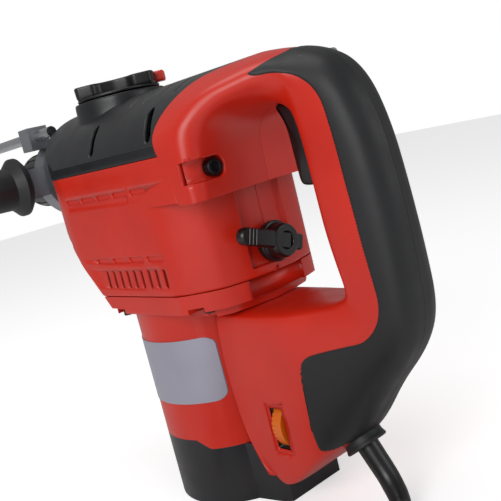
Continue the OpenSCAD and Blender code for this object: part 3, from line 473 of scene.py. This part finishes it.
t_low, t_high = settled(t_fine[first]), settled(t_fine[last])
share = np.linspace(0, 1, 60)
share = share + 0.5 * (0.5 * (1 - np.cos(pi * share)) - share)
s_grid = np.repeat(s_rubber[:, None], len(share), 1)
t_grid = t_low[:, None] + (t_high - t_low)[:, None] * share
skin = handle_point(s_grid, t_grid)
step = 1e-3
along = handle_point(np.minimum(s_grid + step, NET_ROWS), t_grid) - handle_point(s_grid - step, t_grid)
across = handle_point(s_grid, np.minimum(t_grid + step, NET_COLUMNS)) - handle_point(s_grid, t_grid - step)
skin_normal = np.cross(along, across)
skin_normal /= np.linalg.norm(skin_normal, axis=-1, keepdims=True) + 1e-12
if skin_normal[len(skin) // 2, 12, 1] < 0:
    skin_normal = -skin_normal
rim = np.concatenate([skin[0], skin[-1], skin[:, 0], skin[:, -1][skin[:, -1, 1] > 0.5]])
to_rim = np.sqrt(((skin[:, :, None, :] - rim[None, None, ::2]) ** 2).sum(-1).min(-1))
# The skin stands proud of the nylon and dives under it over the last stretch before its rim
SKIN_PROUD, SKIN_DIVE, DIVE_WIDTH = 0.5, 1.7, 1.8
rise = SKIN_PROUD - SKIN_DIVE * (1 - np.clip(to_rim / DIVE_WIDTH, 0, 1)) ** 2
skin = skin + rise[..., None] * skin_normal
skin[..., 1] = np.where(t_grid > 7.98, np.maximum(skin[..., 1], 0), skin[..., 1])

BOLT_Y, BOLT_Z = 38.0, 218.5
SLOT_REACH, TRAY_REACH = 6.3, 8.3


def slot_outline(reach, end):
    """Outline in (y, z) of the bolt's slot: a half circle of the given reach about the bolt, opened to y =
    end."""
    a = np.linspace(pi / 2, 3 * pi / 2, 21)
    return np.r_[np.c_[BOLT_Y + reach * np.cos(a), BOLT_Z + reach * np.sin(a)],
                 [(end, BOLT_Z - reach), (end, BOLT_Z + reach)]]


for side, label in ((1, "left"), (-1, "right")):
    mirror = np.array([1, side, 1])
    seam = np.array([0, 0.12 * side, 0])
    shell = facing(sheet_of(f"handle_shell_{label}", grid * mirror + seam), (-150, 400 * side, 150))
    walled(shell, HANDLE_WALL)
    applied(shell)
    bolt_slot = slot_outline(SLOT_REACH, 72) * (side, 1)
    tray = block(f"bolt_tray_{label}", slot_outline(TRAY_REACH, 55) * (side, 1), -93.4, -84.5, 0)
    cut(tray, block("slot_tool", bolt_slot, -110, -87.2, 0))
    finish(tray, red_nylon, "housing", "red_housing")
    tools = [block("slot_tool", bolt_slot, -110, -86.6, 0)]
    if side == 1:
        window = eased([(-85.6, 41), (-74.4, 41), (-74.4, 68), (-85.6, 68)], 1.2, True)
        tools += [block("window_tool", window, 18, 40, 1),
                  block("frame_tool",
                        eased([(-88.6, 38.4), (-72.4, 38.4), (-72.4, 71), (-88.6, 71)], 1.5, True),
                        29.15, 40, 1)]
        well = block("dial_well", eased([(-87.6, 39), (-72.4, 39), (-72.4, 70), (-87.6, 70)], 1.5, True), 3,
                     28.4, 1)
        cut(well, block("window_tool", window, 5, 40, 1))
        finish(well, black_nylon, "housing", "black_housing")
    cut(shell, *tools)
    finish(shell, red_nylon, "housing", "red_housing", f"handle_{label}")
    head = np.array([(0, 2.6), (2.9, 2.6), (2.9, 0.2), (4.4, 0), (5, 0.6), (5, 6), (3, 6), (3, 21),
                     (0, 21)])
    finish(turned(f"bracket_bolt_{label}", head, (-93.2, side * BOLT_Y, BOLT_Z), (1, 0, 0), 48, 0.3),
           black_steel,
           "housing", "black_screw", *(["bracket_screws"] if side == 1 else []))
    rubber = facing(sheet_of(f"grip_rubber_skin_{label}", skin * mirror + seam), (-150, 400 * side, 150))
    walled(rubber, RUBBER_WALL)
    finish(rubber, soft_rubber, "housing", "rubber_grip", f"grip_rubber_{label}")


# ---- Housings ---------------------------------------------------------------------------------
# Red nylon gear housing and motor tube, black cover and end cap: thick mouldings with small rounded
# edges, screwed together through their flanges.
def edged(node, label, width, angle=30, segments=3):
    """The CAD node's own shape as a new piece: loose triangles merged, flat faces joined, and every edge
    sharper than the angle rounded by the width in millimetres."""
    mesh = frame["nodes"][node].data.copy()
    bm = bmesh.new()
    bm.from_mesh(mesh)
    bmesh.ops.remove_doubles(bm, verts=bm.verts, dist=2e-6)
    bmesh.ops.dissolve_limit(bm, angle_limit=radians(0.7), verts=bm.verts, edges=bm.edges,
                             use_dissolve_boundaries=False)
    bm.to_mesh(mesh)
    bm.free()
    mesh.shade_smooth()
    mesh.set_sharp_from_angle(angle=radians(32))
    obj = bpy.data.objects.new(label, mesh)
    scene.collection.objects.link(obj)
    made = obj.modifiers.new("edges", "BEVEL")
    made.width = width * MM
    made.segments = segments
    made.limit_method = "ANGLE"
    made.angle_limit = radians(angle)
    made.use_clamp_overlap = True
    return obj


for node, label, width, material, slot in (
        ("motor_housing", "motor_tube", 0.6, red_nylon, "red_housing"),
        ("motor_cap", "end_cap", 0.8, black_nylon, "black_housing")):
    piece = edged(node, label, width)
    if node == "motor_housing":
        notch = [(-95, -23), (-74.6, -22), (-77.4, 0), (-74.6, 22), (-95, 23)]
        cut(applied(piece), block("back_notch", notch, 129.4, 147.5, 2))
    finish(piece, material, "housing", slot, node)


# ---- Gear housing -----------------------------------------------------------------------------
# Red nylon box over the gears: flat sides that roll into a bowed, spark-grained back with a sunk
# middle field, a raked front below the spindle, upright cooling slots and rows of shallow dashes.
SIDE_Y, BACK_MID, BACK_R = 55.0, 6.6, 87.0
CASE_WALL, SUNK = 3.2, 3.0
SLOT_X, SLOT_PITCH, SLOT_Z, SLOT_COUNT = -39.9, 8.43, 158.5, 9
DASH_X, DASH_PITCH, DASH_ROWS = -34.4, 20.5, ((213.6, 5), (171.6, 4))
AXIS_Z, FRONT_X = 232, 92
NOSE_BORE = [(0, -12), (26.2, -12), (26.2, 12), (0, 12)]


def case_half(sunk, square):
    """Half of the housing's outline from the middle of its back to the middle of its front. Below the
    shoulder the back is an arc, x = 6.6 - sqrt(87^2 - y^2), sunk between the strips; above it the back is
    straight."""
    y = np.array([0, 0.45, 9, 16.4, 17.6, 22, 30, 37.3])
    x = BACK_MID - np.sqrt(BACK_R ** 2 - y ** 2) + sunk * (y < 17) + 0.2 * sunk * (y < 0.2)
    back = np.full(8, -74.0) if square else x
    corner = [(-74, 47), (-72, SIDE_Y)] if square else [(-64.2, 44.6), (-48, SIDE_Y)]
    points = np.r_[np.c_[back, y], corner,
                   [(-20, SIDE_Y), (62, SIDE_Y), (80, 49), (92, 38), (92, 12), (92, 0)]]
    radii = [0.2, 0.2, 3, 0.7, 0.7, 3, 5, 4, 9, 3 if square else 11, 4, 7, 7, 6, 4, 1]
    return eased(points, radii, steps=6)


def case_ring(z, inset, sunk, square):
    """The closed outline at one height, drawn in by the inset and cut off in front by the rake, which runs
    from x = 40 at the joint to 86 at z = 202."""
    half = case_half(sunk, square)
    ring = np.r_[half, half[::-1] * (1, -1)]
    run = np.roll(ring, -1, 0) - np.roll(ring, 1, 0)
    run /= np.linalg.norm(run, axis=1, keepdims=True) + 1e-9
    ring = ring + inset * np.c_[run[:, 1], -run[:, 0]] * np.sign(ring[:1, 0] * -run[0, 1] + 1e-9)
    limit = np.interp(z, [146.6, 202, 206, 231], [40, 86, 93, 93]) - inset
    return np.c_[np.minimum(ring[:, 0], limit), ring[:, 1], np.full(len(ring), z)]


levels = [(146.9, 1.0, 0, 0), (147.1, 0.5, 0, 0), (147.6, 0.15, 0, 0), (148.4, 0, 0, 0), (150.5, 0, 0, 0),
          (152.2, 0, 0, 0), (152.9, 0, SUNK, 0)]
levels += [(z, 0, SUNK, 0) for z in np.linspace(156, 202.9, 14)]
levels += [(203, 0, 0, 1), (206, 0, 0, 1), (218, 0, 0, 1), (230, 0, 0, 1), (230.8, 0.3, 0, 1),
           (231, 0.8, 0, 1)]
case = sheet_of("gear_case", [case_ring(*level) for level in levels], True, 28)
walled(case, CASE_WALL)
applied(case)


def capsule(cx, cz, half_x, half_z):
    """Outline in (x, z) of a slot with round ends, the radius being its lesser half width."""
    reach = min(half_x, half_z)
    a = np.linspace(0, 2 * pi, 24, endpoint=False)
    return np.c_[cx + reach * np.cos(a) + np.sign(np.cos(a)) * (half_x - reach),
                 cz + reach * np.sin(a) + np.sign(np.sin(a)) * (half_z - reach)]


def joined(name, parts):
    """One object from several closed ones that lie apart."""
    bm = bmesh.new()
    for part in parts:
        bm.from_mesh(part.data)
        bpy.data.objects.remove(part)
    mesh = bpy.data.meshes.new(name)
    bm.to_mesh(mesh)
    bm.free()
    obj = bpy.data.objects.new(name, mesh)
    scene.collection.objects.link(obj)
    return obj


openings = []
for side in (1, -1):
    through_wall, into_wall = sorted((side * 46, side * 60)), sorted((side * 54.2, side * 60))
    openings += [block("slot", capsule(SLOT_X + SLOT_PITCH * i, SLOT_Z, 1.8, 6.4), *through_wall, 1)
                 for i in range(SLOT_COUNT)]
    openings += [block("dash", capsule(DASH_X + DASH_PITCH * i, z, 8.6, 1.8), *into_wall, 1)
                 for z, count in DASH_ROWS for i in range(count)]
bores = [turned("bore", NOSE_BORE, (FRONT_X, 0, AXIS_Z), (1, 0, 0)),
         turned("bore", [(0, -8), (4.3, -8), (4.3, 8), (0, 8)], (-79, 0, 165), (1, 0, 0))]
cut(case, joined("openings", openings), *bores)
finish(case, red_nylon, "housing", "red_housing", "gear_housing")


# ---- Top cover --------------------------------------------------------------------------------
# Black nylon cover over the hammer mechanism: a straight band, then one wide arc, with fine grooves
# across its ridge, two curved air slots on each shoulder and a round boss for the mode knob.
COVER_R, COVER_CZ, COVER_WALL = 59.2, 213.8, 3
GROOVES_X, GROOVE_DEPTH = (-14, -29.5, -45.5, -62), 1.0
HOOD_EDGE_Z = [202, 231, 240, 250, 258, 265, 270, 274]
HOOD_EDGE_X = [-79, -70, -66, -69, -75, -83, -97, -112]


def cover_sheet():
    """The section is a band from z = 231 to 237.6 and an arc about z = 213.8; it runs from under the hood
    to the front, where its width is limited by the plan. Grooves sink it by up to 1 mm where x is near one
    of theirs."""
    a = np.radians(np.linspace(24.13, 155.87, 141))
    band_y, band_z = np.array([54.2, 54.8, 55, 55, 55]), np.array([231, 231.3, 232, 235, 237.6])
    y = np.r_[band_y, COVER_R * np.cos(a), -band_y[::-1]]
    z = np.r_[band_z, COVER_CZ + COVER_R * np.sin(a), band_z[::-1]]
    start = np.interp(z, HOOD_EDGE_Z, HOOD_EDGE_X) - 7
    u = np.linspace(0, 1, 260)[:, None]
    x = start + (91 - start) * u
    reach = np.interp(x, [62, 80, 91], [55, 49, 38.6])
    y, z = np.clip(y, -reach, reach), np.broadcast_to(z, x.shape).copy()
    sink = np.zeros(x.shape)
    for at in GROOVES_X:
        sink += np.clip(1 - np.abs(x - at) / 1.0, 0, 1) ** 0.7
    sink *= np.clip((33 - np.abs(y)) / 2.5, 0, 1)
    rise = np.stack([y, z - COVER_CZ], -1) / COVER_R
    sheet = np.stack([x, y - GROOVE_DEPTH * sink * rise[..., 0], z - GROOVE_DEPTH * sink * rise[..., 1]],
                     -1)
    drawn_in = ((0.005, 0.6), (0.02, 1), (0.5, 1), (1, 1))
    front = [sheet[-1] * (1, 1 - k, 1 - k) + (dx, 0, k * 235) for k, dx in drawn_in]
    return np.concatenate([sheet, front])


cover = facing(sheet_of("cover_shell", cover_sheet(), sharp=32), (0, 0, 2000))
walled(cover, COVER_WALL)
applied(cover)


def slanted(top, bottom, half):
    """Outline in (x, z) of a slot with round ends between two points."""
    top, bottom = np.asarray(top, float), np.asarray(bottom, float)
    lean = np.arctan2(*(top - bottom)[::-1])
    a = np.linspace(-pi / 2, pi / 2, 11)
    return np.r_[np.c_[top[0] + half * np.cos(lean + a), top[1] + half * np.sin(lean + a)],
                 np.c_[bottom[0] + half * np.cos(lean + pi + a), bottom[1] + half * np.sin(lean + pi + a)]]


air_slots = [block("slot", slanted(top, bottom, half), *sorted((side * 24, side * 70)), 1) for side in (1,
                                                                                                        -1)
             for top, bottom, half in (((-49.5, 256), (-55, 243), 3.3), ((15.5, 256), (12, 243), 3.0))]
cut(cover, joined("air_slots", air_slots),
    turned("bore", NOSE_BORE, (FRONT_X, 0, AXIS_Z), (1, 0, 0)),
    turned("bore", [(0, 250), (7.1, 250), (7.1, 280), (0, 280)], (42, 0, 0), (0, 0, 1)))
finish(cover, black_nylon, "housing", "black_housing", "top_cover")
boss = turned("knob_boss",
              [(7.2, 262), (7.2, 277), (31, 277), (31.9, 276), (32.2, 268), (34, 260), (38, 252),
               (30, 252)],
              (42, 0, 0), (0, 0, 1), 128, 2.5)
finish(boss, black_nylon, "housing", "black_housing")


# ---- Mode knob --------------------------------------------------------------------------------
# Black nylon bar knob on a round foot, with a finger hollow along each side and a red pointer
# pressed into one end.
KNOB_AT, KNOB_TURN = np.array([42.0, 0.0]), radians(230)


def knob_place(u, v, z):
    """Points given along the bar (u), across it (v) and up (z), turned to the bar's angle about the knob's
    axis."""
    u, v, z = np.broadcast_arrays(u, v, z)
    return np.stack([KNOB_AT[0] + u * cos(KNOB_TURN) - v * sin(KNOB_TURN),
                     KNOB_AT[1] + u * sin(KNOB_TURN) + v * cos(KNOB_TURN), z], -1)


def stacked(name, outline, profile, place, ease=0.7):
    """A closed moulding from an outline (u, v): profile gives (inset, height) pairs, and each ring is the
    outline drawn in along its own normals by the inset; the last ring and the first shrink to the outline's
    middle."""
    line = np.asarray(outline, float)
    run = np.roll(line, -1, 0) - np.roll(line, 1, 0)
    run /= np.linalg.norm(run, axis=1, keepdims=True) + 1e-9
    normal = np.c_[run[:, 1], -run[:, 0]]
    area = np.sum(line[:, 0] * np.roll(line[:, 1], -1) - np.roll(line[:, 0], -1) * line[:, 1])
    normal *= np.sign(area)
    levels = eased(profile, ease)
    rings = line[None] - levels[:, 0, None, None] * normal[None]
    middle = np.repeat(line.mean(0)[None, None], len(line), 1)
    rings = np.concatenate([middle, rings, middle])
    heights = np.r_[levels[:1, 1], levels[:, 1], levels[-1:, 1]]
    return sheet_of(name, place(rings[..., 0], rings[..., 1], heights[:, None]), True)


flank = [(28, 0), (28, 13), (26, 17), (14, 18), (9.5, 13), (0, 11.5), (-9.5, 13), (-14, 18), (-26, 17),
         (-28, 13),
         (-28, 0)]
bar = eased(flank + [(u, -v) for u, v in flank[-2:0:-1]], 2.2, True, 5)
knob = stacked("mode_knob_bar", bar, [(0.9, 279.4), (0.3, 281), (0, 287.2), (0.7, 288)], knob_place)
foot = turned("knob_foot", [(0, 277.6), (29, 277.6), (29.4, 279.2), (27.5, 279.9), (0, 279.9)],
              (KNOB_AT[0], KNOB_AT[1], 0), (0, 0, 1))
finish(knob, knob_nylon, "mode_selector", "black_knob", "mode_knob")
finish(foot, knob_nylon, "mode_selector", "black_knob")
red_insert = moulded("red_insert", linear(214, 52, 30), linear(206, 46, 27), (0.2, 0.3), 1500, 0.008)
pointer = stacked("knob_pointer", eased([(24, -4.4), (34.6, -4.4), (34.6, 4.4), (24, 4.4)], 2.4, True, 5),
                  [(0.8, 280), (0, 281), (0, 286.4), (0.9, 287.4)], knob_place, 1.0)
finish(pointer, red_insert, "mode_selector", "red_housing")


# ---- Rear lever -------------------------------------------------------------------------------
# Black nylon turn lever on a steel shaft: a round hub on a wider skirt, a ribbed finger bar on one
# side and a short tail on the other.
LEVER_AT, LEVER_TILT = np.array([0.0, 165.0]), radians(20)


def lever_place(u, v, x):
    """Points along the finger bar (u), across it (v) and out from the housing's back (x, counted towards
    -X)."""
    u, v, x = np.broadcast_arrays(u, v, x)
    return np.stack([-x, LEVER_AT[0] + u * cos(LEVER_TILT) - v * sin(LEVER_TILT),
                     LEVER_AT[1] + u * sin(LEVER_TILT) + v * cos(LEVER_TILT)], -1)


a = np.linspace(-pi / 2, pi / 2, 13)
tip = np.c_[29.2 + 5.3 * np.cos(a), 5.3 * np.sin(a)]
finger = np.r_[[(-4, -5.3), (12, -5.3)], tip, [(12, 5.3), (-4, 5.3)]]
finish(stacked("lever_finger", finger, [(0.8, 87.6), (0, 88.6), (0, 92.6), (1.1, 94)], lever_place),
       knob_nylon,
       "lever", "black_knob", "rear_lever")
RIB_U, RIB_PITCH, RIB_WIDE = 22.6, 2.6, 1.3
for i in range(3):
    near = RIB_U + RIB_PITCH * i
    far = near + RIB_WIDE
    rib = eased([(near, -4.9), (far, -4.9), (far, 4.9), (near, 4.9)], 0.5, True)
    finish(stacked(f"lever_rib_{i}", rib, [(0, 93), (0, 94.2), (0.35, 94.6)], lever_place, 0.2), knob_nylon,
           "lever",
           "black_knob")
tail = eased([(-14.8, -5), (-5, -5), (-5, 5), (-14.8, 5)], 1.8, True)
finish(stacked("lever_tail", tail, [(0.8, 86.4), (0, 87.2), (0, 92), (0.9, 93)], lever_place), knob_nylon,
       "lever",
       "black_knob")
hub = turned("lever_hub",
             [(0, 81), (12.6, 81), (12.6, 85.6), (11.2, 86), (10.6, 86.6), (10.4, 92.4), (9.4, 94.4),
                           (5.4, 94.4), (5, 91.4), (0, 91.4)], (0, *LEVER_AT), (-1, 0, 0))
shaft = turned("lever_shaft", [(0, 70), (4, 70), (4, 82), (0, 82)], (0, *LEVER_AT), (-1, 0, 0), 48)
finish(hub, knob_nylon, "lever", "black_knob")
finish(shaft, bright_steel, "lever", "black_knob")


# ---- Trigger ----------------------------------------------------------------------------------
# Black nylon trigger, hinged on a steel pin at its top; its front edge is rounded for the finger.
flank = eased([(-118, 243.5), (-120.6, 239), (-123.3, 228), (-124.3, 199.5), (-126.3, 196.4),
               (-135.8, 195.9),
               (-140.6, 198), (-143.2, 224), (-139, 236), (-134, 242.2)], 3, True, 5)
trigger = stacked("trigger_blade", flank,
                  [(2.2, -8.5), (0.7, -7.6), (0, -5.5), (0, 5.5), (0.7, 7.6), (2.2, 8.5)],
                  lambda u, v, y: np.stack(np.broadcast_arrays(u, y, v), -1), 1.2)
finish(trigger, knob_nylon, "trigger_body", "black_knob", "trigger")
finish(turned("trigger_pin_bar", [(0, -8), (1.5, -8), (1.5, 8), (0, 8)], (-133, 0, 237), (0, 1, 0), 32),
       bright_steel,
       "housing", "steel", "trigger_pin")


# ---- Strain relief ----------------------------------------------------------------------------
# Soft black sleeve over the cord: it leaves the handle's rubber boot, bends with the cord and thins
# towards its end.
RELIEF = [(-112, 0, 52), (-116, 0, 46.2), (-119.5, 0, 40.4), (-123, 0, 34.7), (-126, 0, 29.5),
          (-129, 0, 24.5),
          (-132.3, 0.4, 19.6), (-136, 1.8, 15.2), (-139.9, 3.9, 11.8), (-144, 6.9, 8.9),
          (-148.1, 10.5, 7.2)]
RELIEF_R = [7.0, 7.0, 7.0, 6.9, 6.8, 6.7, 6.6, 6.5, 6.3, 5.9, 5.2]
RELIEF_STEPS = 5
BOOT_AT, BOOT_AXIS = (-119.5, 0, 40.4), np.array([-0.515, 0, -0.857])
BOOT_PROFILE = [(9, -22), (20, -22), (16.6, -14), (13.8, -8), (12.4, -3), (12.7, 0.5), (13.5, 2.4),
                (13.1, 3.8), (8.2, 3.8), (7.6, 1.5), (7.6, -8)]


def tube(name, path, radius, around=40):
    """A round tube along a path (mm), closed at both ends: each ring lies across the path's run, turned so
    that one side stays level, with its own radius."""
    path = np.asarray(path, float)
    run = np.gradient(path, axis=0)
    run /= np.linalg.norm(run, axis=1, keepdims=True)
    side = np.cross(run, (0.8, 0.6, 0.0))
    side /= np.linalg.norm(side, axis=1, keepdims=True)
    other = np.cross(run, side)
    a = np.linspace(0, 2 * pi, around, endpoint=False)[None, :, None]
    r = np.asarray(radius, float)[:, None, None]
    rings = path[:, None] + r * (np.cos(a) * side[:, None] + np.sin(a) * other[:, None])
    ends = np.repeat(path[[0, -1], None], around, 1)
    return sheet_of(name, np.concatenate([ends[:1], rings, ends[1:]]), True)


relief_line = through(RELIEF, RELIEF_STEPS)
relief_radius = np.interp(np.arange(len(relief_line)) / RELIEF_STEPS, np.arange(len(RELIEF)), RELIEF_R)
relief_radius[-3:] -= (0.1, 0.4, 1.0)  # the sleeve's end is rounded off
finish(tube("cord_sleeve", relief_line, relief_radius), cord_rubber, "housing", "black_cord",
       "strain_relief")
boot = turned("rubber_boot", BOOT_PROFILE, BOOT_AT, BOOT_AXIS, 96, 2.2)
finish(boot, soft_rubber, "housing", "rubber_grip")


# ---- Plate, front end, plug and inside -----------------------------------------------------------
# The name plate, screws, nose, chuck, side handle, speed dial, plug and every part inside. They keep
# the shapes of the CAD; each takes the finish of its own slot in the record.
silver_foil = moulded("silver_foil", linear(168, 167, 181), linear(160, 159, 174), (0.34, 0.42), 2500,
                      0.004, metallic=0.5)
orange_nylon = moulded("orange_nylon", linear(228, 110, 0), linear(214, 98, 0), (0.3, 0.4), 1500, 0.01)
brass = moulded("brass", linear(201, 168, 90), linear(186, 150, 76), (0.25, 0.4), 700, 0.01, metallic=1.0)
copper = moulded("copper", linear(190, 112, 74), linear(170, 96, 60), (0.25, 0.4), 700, 0.01, metallic=1.0)
carbon = moulded("carbon", linear(44, 44, 46), linear(34, 34, 36), (0.55, 0.7), 1100, 0.02)
cast_aluminium = moulded("cast_aluminium", linear(156, 158, 162), linear(140, 142, 147), (0.38, 0.5), 800,
                         0.05, metallic=0.9)
laminations = moulded("laminations", linear(124, 112, 100), linear(104, 92, 82), (0.4, 0.55), 600, 0.06,
                      metallic=0.6, stretch=(0.2, 0.2, 4))
circuit_board = moulded("circuit_board", linear(32, 92, 52), linear(24, 78, 42), (0.35, 0.5), 700, 0.01)
fan_nylon = moulded("fan_nylon", linear(48, 49, 52), linear(40, 41, 44), (0.4, 0.5), 1200, 0.02)
by_slot = {"red_housing": red_nylon, "black_housing": black_nylon, "rubber_grip": soft_rubber,
           "silver_label": silver_foil, "nose_casting": cast_aluminium, "black_screw": black_steel,
           "steel": bright_steel, "aluminium_case": cast_aluminium, "winding": laminations,
           "copper": copper, "brass": brass, "carbon": carbon, "fan_plastic": fan_nylon, "orange_dial": orange_nylon,
           "board": circuit_board, "black_cord": cord_rubber, "black_knob": knob_nylon}
for part in frame["record"]["subparts"]:
    node = frame["nodes"][part["node"]]
    node.data.materials.clear()
    node.data.materials.append(by_slot[part["material_slot"]])


# ---- Floor and light --------------------------------------------------------------------------
# A wide matt floor and three large soft lamps in a pale room.
FLOOR_HALF, FLOOR_Z = 3000, -0.1
FLOOR_GLOW = 0.5  # extra brightness of the floor where the camera sees it, without lighting the tool
ROOM_LIGHT, ROOM_SEEN = 0.34, 1.0  # strength of the room as it lights the tool, and as the camera sees it


def floor_sheet():
    """A flat square, 6 m across, just under the tool."""
    x, y = np.meshgrid([-FLOOR_HALF, FLOOR_HALF], [-FLOOR_HALF, FLOOR_HALF])
    return sheet_of("floor", np.stack([x, y, np.full(x.shape, FLOOR_Z)], -1))


floor = floor_sheet()
floor_paint = bpy.data.materials.new("floor_paint")
floor_paint.use_nodes = True
floor_tree = floor_paint.node_tree
floor_shader = floor_tree.nodes["Principled BSDF"]
floor_shader.inputs["Base Color"].default_value = (0.86, 0.86, 0.86, 1)
floor_shader.inputs["Roughness"].default_value = 0.7
floor_shader.inputs["Emission Color"].default_value = (1, 1, 1, 1)
seen = floor_tree.nodes.new("ShaderNodeLightPath")
lift = floor_tree.nodes.new("ShaderNodeMath")
lift.operation = "MULTIPLY"
lift.inputs[1].default_value = FLOOR_GLOW
floor_tree.links.new(seen.outputs["Is Camera Ray"], lift.inputs[0])
floor_tree.links.new(lift.outputs[0], floor_shader.inputs["Emission Strength"])
floor.data.materials.append(floor_paint)


def soft_lamp(name, at, towards, size, power):
    """A square area lamp of the given size in metres, turned to face a point."""
    lamp = bpy.data.lights.new(name, "AREA")
    lamp.size, lamp.energy = size, power
    obj = bpy.data.objects.new(name, lamp)
    obj.location = at
    obj.rotation_euler = (Vector(towards) - Vector(at)).to_track_quat("-Z", "Y").to_euler()
    scene.collection.objects.link(obj)


soft_lamp("key_lamp", (-0.55, 1.25, 0.75), (-0.05, 0, 0.15), 0.8, 11)
soft_lamp("side_lamp", (-1.1, -0.5, 0.5), (-0.05, 0, 0.15), 0.6, 2.2)
soft_lamp("top_lamp", (0.2, 0.2, 1.5), (0, 0, 0.2), 0.8, 5)
world = bpy.data.worlds.new("room")
world.use_nodes = True
room = world.node_tree
room.nodes["Background"].inputs["Color"].default_value = (1, 1, 1, 1)
sight = room.nodes.new("ShaderNodeLightPath")
room_glow = room.nodes.new("ShaderNodeMapRange")
room_glow.inputs["To Min"].default_value, room_glow.inputs["To Max"].default_value = ROOM_LIGHT, ROOM_SEEN
room.links.new(sight.outputs["Is Camera Ray"], room_glow.inputs["Value"])
room.links.new(room_glow.outputs["Result"], room.nodes["Background"].inputs["Strength"])
scene.world = world
scene.view_settings.view_transform = "Standard"
